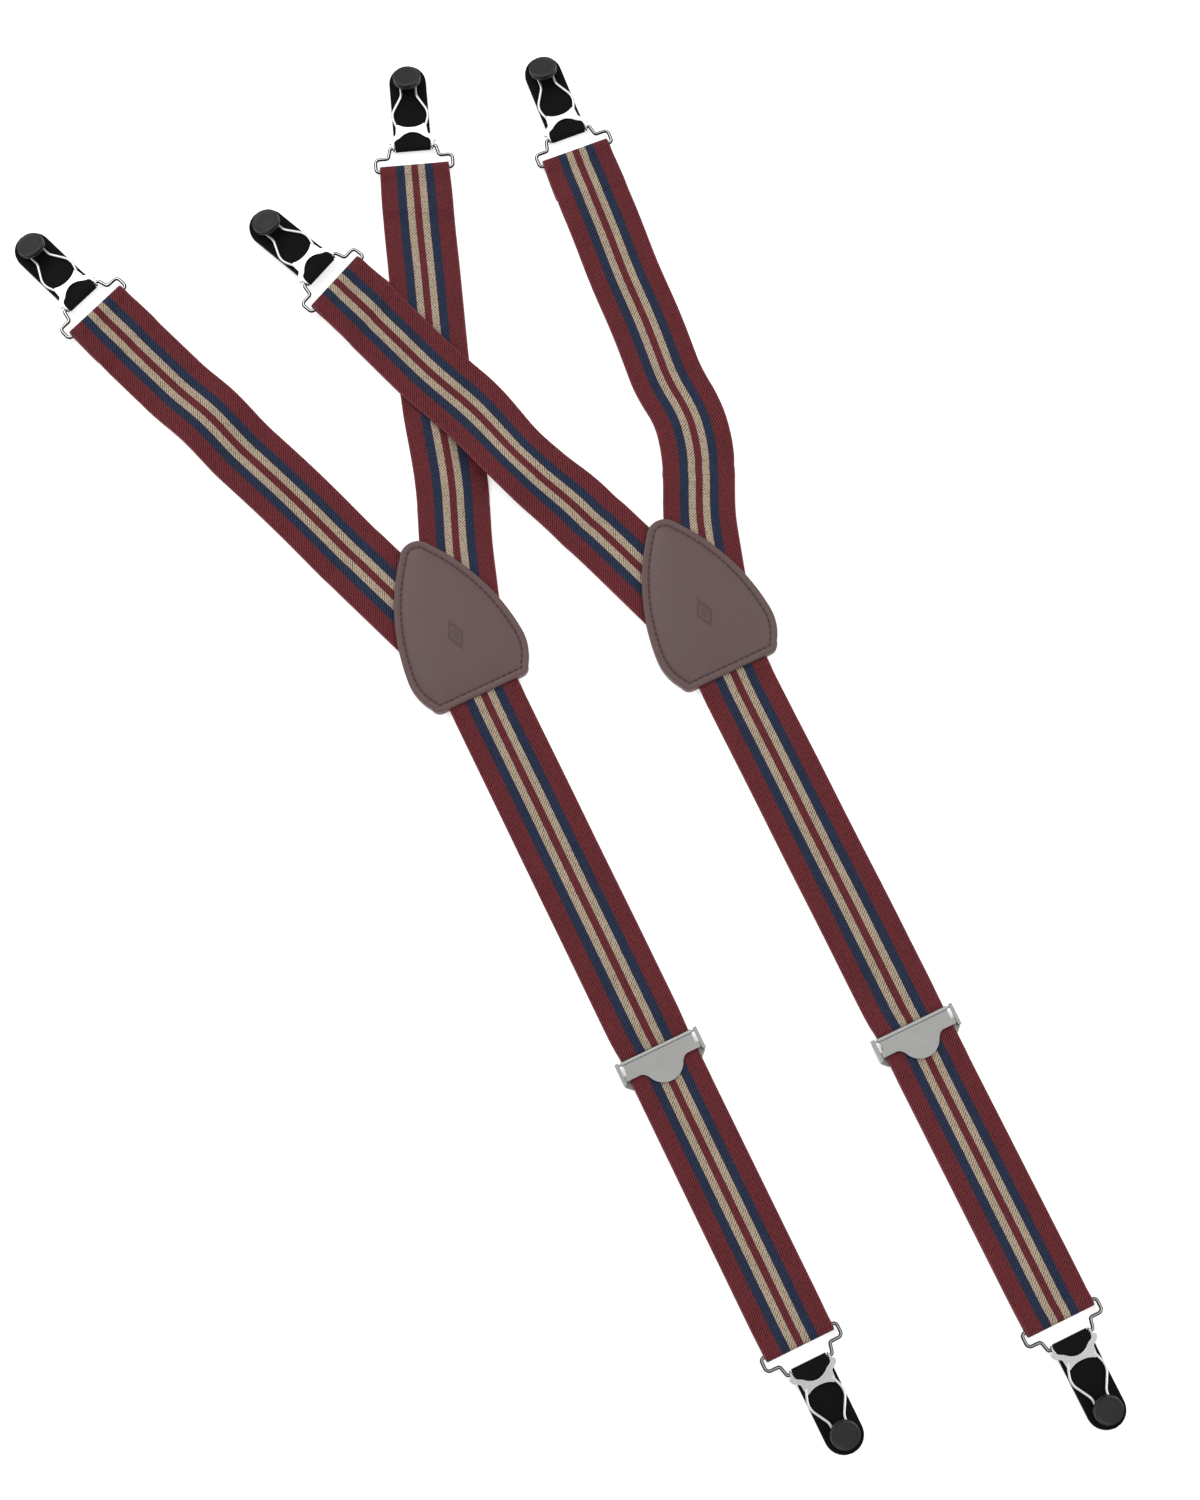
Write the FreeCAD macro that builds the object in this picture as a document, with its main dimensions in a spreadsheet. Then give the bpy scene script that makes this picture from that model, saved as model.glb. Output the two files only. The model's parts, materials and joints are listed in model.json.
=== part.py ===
import FreeCAD, Part
import Sketcher

import math
import os

# A pair of Y-shaped elastic shirt stays, lying flat on a surface at z = 0.
# Each stay is striped webbing that leaves a leather patch: one main strap runs through an
# adjuster to the sock clip, and two branches run to the front and rear shirt clips.
# World frame: +X right, +Y towards the shirt clips, +Z up. All sizes are in millimetres.

DRIVING_DIMENSIONS = [
    # webbing
    ("strap_width", 25.0), ("strap_thick", 1.3), ("strap_level", 1.95), ("seam_gap", 0.15),
    ("hem_width", 24.0), ("hem_run", 12.0), ("hem_radius", 1.95),
    # leather patch
    ("patch_length", 56.3), ("patch_widest_at", 42.0), ("patch_half_widest", 20.8),
    ("patch_shoulder_at", 2.4), ("patch_half_shoulder", 5.6), ("patch_foot_at", 2.6),
    ("patch_half_foot", 17.6), ("patch_half_heel", 14.6), ("patch_nose_radius", 6.3),
    ("patch_side_radius", 84.0), ("patch_foot_radius", 34.0), ("patch_heel_radius", 3.1),
    ("leather_back", 1.3), ("leather_front", 1.5), ("strap_tuck", 20.0),
    ("thread_radius", 0.25), ("thread_inset", 2.3),
    # wire hanger between the webbing and the clip
    ("wire_radius", 0.6), ("wire_play", 0.05), ("bar_half_wide", 13.3), ("hanger_rise", 4.7),
    ("hanger_neck", 8.8), ("bar_half_narrow", 7.9), ("hanger_reach", 8.4), ("wire_bend", 1.2),
    # rubber tab
    ("tab_half_width", 6.35), ("tab_half_neck", 6.2), ("tab_neck_run", 1.7), ("tab_radius", 1.85),
    ("tab_bottom", 0.9), ("tab_thick", 1.6), ("stud_at", 23.6),
    # stud and rivet
    ("stem_radius", 1.9), ("head_radius", 4.8), ("head_thick", 2.1), ("head_round", 0.9),
    ("head_level", 4.9), ("head_tilt", 20.0), ("rivet_radius", 3.4), ("rivet_thick", 0.6),
    ("shank_radius", 0.9), ("shank_rise", 2.4),
    # wire loop with its stamped plate
    ("loop_wire", 0.5), ("loop_level", 3.2), ("plate_thick", 0.7), ("ring_radius", 1.35),
    ("ring_inner", 6.45), ("ring_thick", 0.65), ("lobe_half", 8.0), ("plate_back_at", 4.7),
    ("loop_root_at", 6.25), ("loop_root", 4.4),
    ("loop_bulge_at", 11.8), ("loop_bulge", 6.5), ("loop_neck_at", 18.7), ("loop_neck", 2.55),
    ("loop_end_at", 26.4),
    # adjuster
    ("frame_half_width", 14.6), ("wall_thick", 0.8), ("wall_run", 7.8), ("wall_top", 4.1),
    ("floor_thick", 0.6), ("floor_start", 4.0), ("floor_end", 9.8), ("floor_bevel", 2.2),
    ("lever_half_width", 12.9), ("lever_wing", 6.6), ("lever_reach", 12.5), ("tongue_half", 7.8),
    ("tongue_radius", 7.0), ("lever_thick", 0.7), ("lever_bottom", 3.45), ("barrel_at", 0.9),
    ("barrel_level", 3.5), ("barrel_radius", 0.72), ("trunnion_radius", 0.45),
    # how one stay is set out, along its main strap from the patch's straight edge
    ("adjuster_at", 129.5), ("sock_fold_at", 234.7), ("main_turn", -64.3),
    ("patch_x", -20.971), ("patch_y", 8.703), ("pair_x", 82.4), ("pair_y", 7.6),
    # fold ends of the branches, measured from the patch's straight edge, and their directions
    ("left_front_x", -133.8), ("left_front_y", 135.0), ("left_front_turn", 135.6),
    ("left_rear_x", -25.45), ("left_rear_y", 187.7), ("left_rear_turn", 95.2),
    ("left_rear_straight", 50.0), ("left_rear_bend", 3.0), ("left_rear_radius", 380.0),
    ("right_front_x", -134.65), ("right_front_y", 136.85), ("right_front_turn", 139.6),
    ("right_rear_x", -52.8), ("right_rear_y", 185.5), ("right_rear_turn", 111.0),
    ("right_rear_straight", 102.0), ("right_rear_bend", -12.5), ("right_rear_radius", 52.0),
    ("branch_length", 190.0),
    # the right stay's front branch lies over the left stay's rear branch
    ("crossing_lift", 1.6), ("lift_run", 87.0), ("lift_ramp", 16.0), ("lift_radius", 30.0),
    ("right_front_straight", 26.0), ("right_front_bend", -4.9), ("right_front_radius", 300.0),
]
LEGS = ("left", "right")
ENDS = ("front", "rear", "sock")
TOP_RIM = 3  # the number of an upright cylinder's top edge


class Dim:
    """A size that carries both its value and the spreadsheet expression it comes from."""

    def __init__(self, value, text):
        self.value = float(value)
        self.text = text

    def _join(self, other, sign, value, flip=False):
        first, second = (as_dim(other), self) if flip else (self, as_dim(other))
        return Dim(value(first.value, second.value), f"({first.text} {sign} {second.text})")

    def __add__(self, other):
        return self._join(other, "+", lambda a, b: a + b)

    def __radd__(self, other):
        return self._join(other, "+", lambda a, b: a + b, True)

    def __sub__(self, other):
        return self._join(other, "-", lambda a, b: a - b)

    def __rsub__(self, other):
        return self._join(other, "-", lambda a, b: a - b, True)

    def __mul__(self, other):
        return self._join(other, "*", lambda a, b: a * b)

    def __rmul__(self, other):
        return self._join(other, "*", lambda a, b: a * b, True)

    def __truediv__(self, other):
        return self._join(other, "/", lambda a, b: a / b)

    def __neg__(self):
        return 0 - self


def as_dim(size):
    return size if isinstance(size, Dim) else Dim(size, repr(float(size)))


doc = FreeCAD.newDocument("shirt_stays")
sheet = doc.addObject("Spreadsheet::Sheet", "sizes")
dims = {}
for row, (alias, number) in enumerate(DRIVING_DIMENSIONS, start=1):
    sheet.set(f"A{row}", alias)
    sheet.set(f"B{row}", str(number))
    sheet.setAlias(f"B{row}", alias)
    dims[alias] = Dim(number, f"sizes.{alias}")
doc.recompute()


def size(alias):
    return dims[alias]


# ---------------------------------------------------------------- building blocks


def bind(obj, name, dim):
    obj.setExpression(name, as_dim(dim).text)


def place(obj, x, y, z):
    for axis, dim in zip("xyz", (x, y, z)):
        bind(obj, f"Placement.Base.{axis}", dim)


def box(corner, spans):
    obj = doc.addObject("Part::Box", "block")
    for name, dim in zip(("Length", "Width", "Height"), spans):
        bind(obj, name, dim)
    place(obj, *corner)
    return obj


def rod(centre, radius, length, axis="z"):
    """A cylinder that starts at centre and runs along +Y or +Z."""
    obj = doc.addObject("Part::Cylinder", "rod")
    bind(obj, "Radius", radius)
    bind(obj, "Height", length)
    if axis == "y":
        obj.Placement.Rotation = FreeCAD.Rotation(FreeCAD.Vector(1, 0, 0), -90)
    place(obj, *centre)
    return obj


def cross_rod(x, z, radius, half_length):
    """A cylinder across the piece, centred on y = 0."""
    return rod((x, -half_length, z), radius, half_length * 2, "y")


def fuse(*objects):
    obj = doc.addObject("Part::MultiFuse", "joined")
    obj.Shapes = list(objects)
    return obj


def cut(base, *tools):
    obj = doc.addObject("Part::Cut", "trimmed")
    obj.Base = base
    obj.Tool = tools[0] if len(tools) == 1 else fuse(*tools)
    return obj


def outline(corners, level, height, bulges=None):
    """A flat plate whose corners are joined by straight edges.

    bulges maps the number of an edge to a radius, and that edge becomes an arc."""
    bulges = bulges or {}
    sketch = doc.addObject("Sketcher::SketchObject", "outline")
    points = [FreeCAD.Vector(x.value, y.value, 0) for x, y in corners]
    total = len(points)
    for number, start in enumerate(points):
        end = points[(number + 1) % total]
        if number in bulges:
            sketch.addGeometry(arc_between(start, end, bulges[number].value))
        else:
            sketch.addGeometry(Part.LineSegment(start, end))
    for number, (x, y) in enumerate(corners):
        before = (number - 1) % total
        first, last = edge_ends(number in bulges, before in bulges)
        sketch.addConstraint(Sketcher.Constraint("Coincident", before, last, number, first))
        for kind, dim in (("DistanceX", x), ("DistanceY", y)):
            index = sketch.addConstraint(Sketcher.Constraint(kind, -1, 1, number, first, dim.value))
            bind(sketch, f"Constraints[{index}]", dim)
        if number in bulges:
            radius = bulges[number]
            index = sketch.addConstraint(Sketcher.Constraint("Radius", number, radius.value))
            bind(sketch, f"Constraints[{index}]", radius)
    obj = doc.addObject("Part::Extrusion", "plate")
    obj.Base = sketch
    obj.DirMode = "Custom"
    obj.Dir = FreeCAD.Vector(0, 0, 1)
    obj.Solid = True
    bind(obj, "LengthFwd", height)
    place(obj, 0, 0, level)
    return obj


def edge_ends(starts_with_arc, follows_arc):
    """Arcs are drawn clockwise edge by edge, so their start point is the next corner."""
    return (2 if starts_with_arc else 1), (1 if follows_arc else 2)


def arc_between(start, end, radius):
    """The shorter arc that bulges to the left of the way from start to end."""
    half = (end - start) * 0.5
    middle = start + half
    away = FreeCAD.Vector(-half.y, half.x, 0)
    away.normalize()
    centre = middle - away * math.sqrt(radius * radius - half.Length * half.Length)
    first = math.atan2(end.y - centre.y, end.x - centre.x)
    last = math.atan2(start.y - centre.y, start.x - centre.x)
    return Part.ArcOfCircle(Part.Circle(centre, FreeCAD.Vector(0, 0, 1), radius), first, last)


def rounded_path(points, radii, closed=False):
    """Straight runs joined by tangent arcs; radii has one value for each inner corner."""
    points = [FreeCAD.Vector(*point) for point in points]
    total = len(points)
    corners = range(total) if closed else range(1, total - 1)
    trimmed = {}
    arcs = {}
    for order, number in enumerate(corners):
        here = points[number]
        back = (points[number - 1] - here).normalize()
        ahead = (points[(number + 1) % total] - here).normalize()
        opening = back.getAngle(ahead)
        trim = radii[order] / math.tan(opening / 2)
        half_way = (back + ahead).normalize()
        centre = here + half_way * (radii[order] / math.sin(opening / 2))
        trimmed[number] = (here + back * trim, here + ahead * trim)
        arcs[number] = Part.Arc(trimmed[number][0], centre - half_way * radii[order], trimmed[number][1])
    edges = []
    for number in range(total if closed else total - 1):
        after = (number + 1) % total
        start = trimmed[number][1] if number in trimmed else points[number]
        end = trimmed[after][0] if after in trimmed else points[after]
        if (end - start).Length > 1e-6:
            edges.append(Part.LineSegment(start, end).toShape())
        if after in arcs:
            edges.append(arcs[after].toShape())
    return Part.Wire(edges)


def sweep(path, section):
    spine = doc.addObject("Part::Feature", "spine")
    spine.Shape = path
    obj = doc.addObject("Part::Sweep", "swept")
    obj.Sections = [section]
    obj.Spine = (spine, [f"Edge{number}" for number in range(1, len(path.Edges) + 1)])
    obj.Solid = True
    obj.Frenet = False
    return obj


def start_frame(path):
    """Where a path starts, with local z along it and local x level."""
    edge = path.OrderedEdges[0]
    at_start = edge.firstVertex(True).Point
    along = edge.tangentAt(edge.FirstParameter if edge.Orientation == "Forward" else edge.LastParameter)
    if edge.Orientation != "Forward":
        along = along * -1
    up = FreeCAD.Vector(0, 0, 1)
    across = up.cross(along).normalize()
    return FreeCAD.Placement(at_start, FreeCAD.Rotation(across, along.cross(across), along, "ZXY"))


def round_wire(points, radii, radius, closed=False):
    path = rounded_path(points, radii, closed)
    circle = doc.addObject("Part::Circle", "section")
    bind(circle, "Radius", radius)
    circle.Placement = start_frame(path)
    return sweep(path, circle)


def flat_band(points, radii):
    path = rounded_path(points, radii)
    band = doc.addObject("Part::Plane", "section")
    bind(band, "Length", size("strap_width"))
    bind(band, "Width", size("strap_thick"))
    frame = start_frame(path)
    corner = FreeCAD.Vector(-size("strap_width").value / 2, -size("strap_thick").value / 2, 0)
    band.Placement = frame.multiply(FreeCAD.Placement(corner, FreeCAD.Rotation()))
    return sweep(path, band)


# ---------------------------------------------------------------- where things lie


def stay_frame(leg):
    """The middle of the patch's straight edge; local +X runs down the main strap."""
    shift = 1 if leg == "right" else 0
    base = FreeCAD.Vector(size("patch_x").value + shift * size("pair_x").value,
                          size("patch_y").value + shift * size("pair_y").value, 0)
    return FreeCAD.Placement(base, FreeCAD.Rotation(FreeCAD.Vector(0, 0, 1), size("main_turn").value))


def lift(leg, end):
    return size("crossing_lift").value if (leg, end) == ("right", "front") else 0.0


def fold_frame(leg, end):
    """The middle of a strap's fold edge; local +X runs on towards the clip's tip."""
    if end == "sock":
        along = FreeCAD.Placement(FreeCAD.Vector(size("sock_fold_at").value, 0, 0), FreeCAD.Rotation())
        return stay_frame(leg).multiply(along)
    offset = FreeCAD.Vector(size(f"{leg}_{end}_x").value, size(f"{leg}_{end}_y").value, lift(leg, end))
    turn = FreeCAD.Rotation(FreeCAD.Vector(0, 0, 1), size(f"{leg}_{end}_turn").value)
    return FreeCAD.Placement(stay_frame(leg).Base + offset, turn)


def beyond(frame, distance):
    return frame.multiply(FreeCAD.Placement(FreeCAD.Vector(distance, 0, 0), FreeCAD.Rotation()))


def bar_frame(leg, end, bar):
    """The wide or the narrow bar of a hanger, at z = 0."""
    wide = -size("hem_radius").value
    narrow = wide + size("hanger_reach").value
    return beyond(fold_frame(leg, end), wide if bar == "wide" else narrow)


nodes = {}


def keep(label, obj, frame):
    """Name a finished piece and move it, with its own offset, into the given frame."""
    doc.recompute()
    for axis in "xyz":
        obj.setExpression(f"Placement.Base.{axis}", None)
    obj.Label = label
    obj.Placement = frame.multiply(obj.Placement)
    nodes[label] = obj


# ---------------------------------------------------------------- the patch


def patch_plate(level, height):
    """A leather piece: its nose is towards -X and its straight edge is at x = 0."""
    half = [(size("patch_shoulder_at") - size("patch_length"), size("patch_half_shoulder")),
            (size("patch_widest_at") - size("patch_length"), size("patch_half_widest")),
            (-size("patch_foot_at"), size("patch_half_foot")),
            (as_dim(0), size("patch_half_heel"))]
    corners = half + [(x, -y) for x, y in reversed(half)]
    side = size("patch_side_radius")
    foot = size("patch_foot_radius")
    heel = size("patch_heel_radius")
    bulges = {0: side, 1: foot, 2: heel, 4: heel, 5: foot, 6: side, 7: size("patch_nose_radius")}
    return outline(corners, level, height, bulges)


def patch_thread(level):
    """One closed line of sewing thread that runs inside the patch's edge."""
    inset = size("thread_inset").value
    nose = size("patch_shoulder_at").value - size("patch_length").value
    widest = size("patch_widest_at").value - size("patch_length").value
    waist = size("patch_half_widest").value - inset
    side = [(nose - 1.77, 2.2), (nose + 1.38, size("patch_half_shoulder").value - 1.61),
            (widest - 22.0, waist - 3.4), (widest, waist), (-inset, size("patch_half_heel").value - 0.5)]
    radii = [2.0, 2.5, 30.0, 14.0, 1.0]
    points = side + [(x, -y) for x, y in reversed(side)]
    return round_wire([(x, y, level) for x, y in points], radii + radii[::-1], size("thread_radius"),
                      closed=True)


# ---------------------------------------------------------------- the webbing


def straight_band(start, end, level, thick):
    width = size("strap_width")
    return box((start, -width / 2, level), (end - start, width, thick))


def main_strap():
    end = size("adjuster_at") + size("barrel_at") + 2.0
    return straight_band(-size("strap_tuck"), end, size("strap_level") - size("strap_thick") / 2,
                         size("strap_thick"))


def sock_strap():
    """The front run to the sock clip and the return run that comes back up behind it."""
    front = size("adjuster_at") + size("barrel_at") + 2.3
    back = size("adjuster_at") + size("floor_start") + 0.6
    end = size("sock_fold_at") - size("hem_run")
    thick = size("strap_thick")
    return fuse(straight_band(front, end, size("strap_level"), thick),
                straight_band(back, end, size("strap_level") - thick, thick))


def branch_path(leg, end):
    """Points along a branch's mid-line, from its hem back into the patch, in the world frame."""
    fold = fold_frame(leg, end)
    level = size("strap_level").value
    back = size("branch_length").value
    start = (-size("hem_run").value, 0, level)
    if (leg, end) == ("left", "front"):
        local = [start, (-back, 0, level)]
        radii = []
    else:
        bend = math.radians(size(f"{leg}_{end}_bend").value)
        corner = size(f"{leg}_{end}_straight").value

        def after_bend(run, height):
            rest = run - corner
            return (-corner - rest * math.cos(bend), -rest * math.sin(bend), height)

        local = [start, (-corner, 0, level)]
        radii = [size(f"{leg}_{end}_radius").value]
        if (leg, end) == ("right", "front"):
            flat = size("lift_run").value
            level -= size("crossing_lift").value
            local += [after_bend(flat, local[-1][2]), after_bend(flat + size("lift_ramp").value, level)]
            radii += [size("lift_radius").value] * 2
        local.append(after_bend(back, level))
    return [tuple(fold.multVec(FreeCAD.Vector(*point))) for point in local], radii


def branch_strap(leg, end):
    """A branch, cut off along the patch's mid-line and short of the main strap's tucked end."""
    points, radii = branch_path(leg, end)
    band = flat_band(points, radii)
    reach = size("branch_length")
    side = 1 if end == "rear" else -1
    gap = size("seam_gap")
    corner_y = -reach if side > 0 else -gap
    other_half = box((-reach, corner_y, as_dim(-1)), (reach * 2, reach + gap, as_dim(8)))
    below = box((-size("strap_tuck") - gap * 2, -reach, as_dim(-1)), (reach, reach * 2, as_dim(8)))
    tool = fuse(other_half, below)
    tool.Placement = stay_frame(leg)
    return cut(band, tool)


def hem():
    """The strap's end folded round the wide bar, with its bar at the local origin."""
    level = size("strap_level")
    thick = size("strap_thick")
    width = size("hem_width")
    run = size("hem_run") - size("hem_radius")
    doubled = box((-run, -width / 2, level - thick), (run, width, thick * 2))
    fold = cross_rod(0, level, size("hem_radius"), width / 2)
    bore = cross_rod(0, level, size("wire_radius") + size("wire_play"), width)
    return cut(fuse(doubled, fold), bore)


# ---------------------------------------------------------------- the adjuster


def adjuster_frame():
    """A channel under the strap: two side walls that carry the lever, and a floor plate."""
    half = size("frame_half_width")
    start = size("floor_start")
    end = size("floor_end")
    bevel = size("floor_bevel")
    right = [(start, half), (end - bevel, half), (end, half - bevel)]
    corners = right + [(x, -y) for x, y in reversed(right)]
    floor = outline(corners, 0, size("floor_thick"))
    wall = size("wall_thick")
    walls = [box((0, side, 0), (size("wall_run"), wall, size("wall_top"))) for side in (-half, half - wall)]
    holes = cross_rod(size("barrel_at"), size("barrel_level"), size("trunnion_radius") + size("wire_play"),
                      half * 2)
    return cut(fuse(floor, *walls), holes)


def adjuster_lever():
    """The clamping plate with its rolled edge, round tongue and two trunnions."""
    wing = size("lever_half_width")
    tongue = size("tongue_half")
    start = size("barrel_at")
    depth = size("lever_wing")
    side = [(start, wing), (depth, wing), (depth, tongue)]
    corners = side + [(x, -y) for x, y in reversed(side)]
    plate = outline(corners, size("lever_bottom"), size("lever_thick"))
    centre = size("lever_reach") - size("tongue_radius")
    end = rod((centre, 0, size("lever_bottom")), size("tongue_radius"), size("lever_thick"))
    barrel = cross_rod(start, size("barrel_level"), size("barrel_radius"), wing)
    trunnions = cross_rod(start, size("barrel_level"), size("trunnion_radius"), size("frame_half_width") - 0.2)
    return fuse(plate, end, barrel, trunnions)


# ---------------------------------------------------------------- the clip


def hanger():
    """A closed wire frame; its wide bar is at x = 0 and its narrow bar holds the tab."""
    level = size("strap_level").value
    wide = size("bar_half_wide").value
    rise = size("hanger_rise").value
    neck = size("hanger_neck").value
    narrow = size("bar_half_narrow").value
    reach = size("hanger_reach").value
    half = [(0, wide), (rise, wide), (rise, neck), (reach, narrow)]
    points = [(0, 0)] + half + [(x, -y) for x, y in reversed(half)]
    bend = size("wire_bend").value
    corner = [bend, bend, bend * 0.8, bend * 0.8]
    radii = corner + corner[::-1]
    # the wire's two ends meet in the middle of the wide bar, inside the hem
    return round_wire([(x, y, level) for x, y in points + points[:1]], radii, size("wire_radius"))


def tab():
    """The rubber tongue, folded round the narrow bar at the local origin."""
    half = size("tab_half_width")
    neck = size("tab_half_neck")
    start = size("tab_neck_run")
    low = size("tab_bottom")
    thick = size("tab_thick")
    stud_at = size("stud_at")
    strip = box((start, -half, low), (stud_at - start, half * 2, thick))
    tip = rod((stud_at, 0, low), half, thick)
    root = box((0, -neck, low), (start, neck * 2, thick))
    fold = cross_rod(0, size("strap_level"), size("tab_radius"), neck)
    bore = cross_rod(0, size("strap_level"), size("wire_radius") + size("wire_play"), half)
    hole = rod((stud_at, 0, 0), size("stem_radius"), 8)
    return cut(fuse(strip, tip, root, fold), bore, hole)


def stud():
    """A round stem through the tab with a broad head that leans towards the tip."""
    low = size("tab_bottom")
    stud_at = size("stud_at")
    stem = rod((stud_at, 0, low), size("stem_radius"), size("head_level") + 1.0 - low)
    blank = doc.addObject("Part::Cylinder", "head_blank")
    bind(blank, "Radius", size("head_radius"))
    bind(blank, "Height", size("head_thick"))
    head = doc.addObject("Part::Fillet", "head")
    head.Base = blank
    head.Edges = [(TOP_RIM, size("head_round").value, size("head_round").value)]
    head.Placement.Rotation = FreeCAD.Rotation(FreeCAD.Vector(0, 1, 0), size("head_tilt").value)
    place(head, stud_at, 0, size("head_level"))
    bore = rod((stud_at, 0, low - 0.1), size("shank_radius"), size("shank_rise") + 0.1)
    return cut(fuse(stem, head), bore)


def rivet():
    """A flat cap under the tab whose shank holds the stud."""
    low = size("tab_bottom")
    cap = rod((size("stud_at"), 0, low - size("rivet_thick")), size("rivet_radius"), size("rivet_thick"))
    shank = rod((size("stud_at"), 0, low - size("rivet_thick")), size("shank_radius"),
                size("rivet_thick") + size("shank_rise"))
    return fuse(cap, shank)


def loop_wire():
    """The keyhole: wide where the stud goes in, narrow where it is held."""
    level = size("loop_level").value
    half = [(size("loop_root_at").value - 0.6, size("loop_root").value),
            (size("loop_bulge_at").value, size("loop_bulge").value),
            (size("loop_neck_at").value, size("loop_neck").value),
            (size("loop_end_at").value, size("loop_neck").value)]
    points = half + [(x, -y) for x, y in reversed(half)]
    end = size("loop_neck").value - 0.01
    radii = [4.5, 4.0, end]
    return round_wire([(x, y, level) for x, y in points], radii + radii[::-1], size("loop_wire"))


def loop_plate():
    """The stamped plate: a crossbar that grips the wire and two lobes that reach the rings."""
    ring_in = size("ring_inner")
    ring_out = ring_in + size("ring_thick")
    lobe = size("lobe_half")
    root = size("loop_root_at")
    outer = [(as_dim(-0.4), ring_out), (as_dim(0.9), ring_out), (as_dim(1.1), lobe),
             (as_dim(3.0), lobe), (root - 2.6, lobe - 0.8), (root - 1.7, lobe - 2.4),
             (root + 1.4, lobe - 2.9), (root + 1.2, lobe - 4.4)]
    inner = [(as_dim(-0.4), ring_in), (as_dim(2.2), ring_in), (root - 3.7, as_dim(4.6)),
             (root - 2.7, as_dim(3.3))]
    front = [(root + 0.2, as_dim(0))]
    back = [(size("plate_back_at"), as_dim(0))]
    corners = outer + front + [(x, -y) for x, y in reversed(outer)] \
        + [(x, -y) for x, y in inner] + back + inner[::-1]
    return outline(corners, size("loop_level") - size("plate_thick") / 2, size("plate_thick"))


def loop():
    """The wire and the plate with two rings that turn on the hanger's narrow bar."""
    level = size("strap_level")
    ring_out = size("ring_inner") + size("ring_thick")
    rings = [rod((0, start, level), size("ring_radius"), size("ring_thick"), "y")
             for start in (size("ring_inner"), -ring_out)]
    bore = cross_rod(0, level, size("wire_radius") + size("wire_play"), size("bar_half_wide"))
    return cut(fuse(loop_wire(), loop_plate(), *rings), bore)


# ---------------------------------------------------------------- assembly


def build_stay(leg):
    stay = stay_frame(leg)
    cover_level = size("strap_level") + size("strap_thick") / 2
    keep(f"{leg}_patch_lining", patch_plate(as_dim(0), size("leather_back")), stay)
    keep(f"{leg}_patch_cover", patch_plate(cover_level, size("leather_front")), stay)
    thread_level = cover_level.value + size("leather_front").value + size("thread_radius").value
    keep(f"{leg}_patch_thread", patch_thread(thread_level), stay)
    keep(f"{leg}_main_strap", main_strap(), stay)
    keep(f"{leg}_sock_strap", sock_strap(), stay)
    adjuster = beyond(stay, size("adjuster_at").value)
    keep(f"{leg}_adjuster_frame", adjuster_frame(), adjuster)
    keep(f"{leg}_adjuster_lever", adjuster_lever(), adjuster)
    for end in ENDS:
        if end != "sock":
            keep(f"{leg}_{end}_strap", branch_strap(leg, end), FreeCAD.Placement())
        wide = bar_frame(leg, end, "wide")
        narrow = bar_frame(leg, end, "narrow")
        keep(f"{leg}_{end}_hem", hem(), wide)
        keep(f"{leg}_{end}_hanger", hanger(), wide)
        for piece, make in (("tab", tab), ("stud", stud), ("rivet", rivet), ("loop", loop)):
            keep(f"{leg}_{end}_{piece}", make(), narrow)


def check_and_export():
    doc.recompute()
    for obj in doc.Objects:
        if "Invalid" in obj.State or "Error" in obj.State:
            raise RuntimeError(f"{obj.Label} is {obj.State}")
    os.makedirs("parts", exist_ok=True)
    for label, obj in sorted(nodes.items()):
        shape = obj.Shape
        if shape.isNull() or not shape.isValid() or not shape.Solids:
            raise RuntimeError(f"{label} has no valid solid")
        print(f"{label}: {len(shape.Solids)} solid, {shape.Volume:.1f} mm3")
        shape.exportStep(f"parts/{label}.step")


for leg_name in LEGS:
    build_stay(leg_name)
check_and_export()
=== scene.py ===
import json
import math
from contextlib import contextmanager

import bmesh
import bpy
from bpy.props import FloatProperty, FloatVectorProperty, PointerProperty
from mathutils import Matrix, Vector


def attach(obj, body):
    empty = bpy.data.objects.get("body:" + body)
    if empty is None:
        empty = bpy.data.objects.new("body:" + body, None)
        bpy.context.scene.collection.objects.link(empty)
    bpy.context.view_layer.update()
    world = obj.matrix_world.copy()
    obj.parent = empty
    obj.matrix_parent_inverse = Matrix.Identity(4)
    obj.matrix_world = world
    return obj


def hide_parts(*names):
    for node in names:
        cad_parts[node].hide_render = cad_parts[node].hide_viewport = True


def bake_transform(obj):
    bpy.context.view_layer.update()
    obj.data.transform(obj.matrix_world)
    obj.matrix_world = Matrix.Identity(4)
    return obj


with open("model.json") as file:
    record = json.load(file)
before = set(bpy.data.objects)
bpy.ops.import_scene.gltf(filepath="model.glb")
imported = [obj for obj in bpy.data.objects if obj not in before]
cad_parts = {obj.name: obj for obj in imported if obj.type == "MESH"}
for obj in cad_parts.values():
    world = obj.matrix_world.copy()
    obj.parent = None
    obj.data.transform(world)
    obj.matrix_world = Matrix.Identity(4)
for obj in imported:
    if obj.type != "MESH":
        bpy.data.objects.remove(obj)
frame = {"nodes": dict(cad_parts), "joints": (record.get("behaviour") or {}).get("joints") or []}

bl_info = {
    "name": "Shirt Stays",
    "version": (1, 0, 0),
    "blender": (4, 5, 0),
    "location": "View3D > Sidebar > Shirt Stays",
    "description": "Makes a pair of striped elastic shirt stays with leather patches and garter clips",
    "category": "Add Mesh",
}

MM = 0.001
LEGS = ("left", "right")
SHIRT_ENDS = ("front", "rear")
ENDS = SHIRT_ENDS + ("sock",)
JOINTS = {joint["name"]: joint for joint in frame["joints"]}
UP = Vector((0, 0, 1))
UNEVENNESS = "Fine and Broad Unevenness"
# painted shade for the gaps between the twill's floats
GAP_SHADE = (0.12, 0.11, 0.14, 1.0)
TWILL_LEAN = math.radians(47)
STUD_LEAN = math.radians(20)

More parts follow.
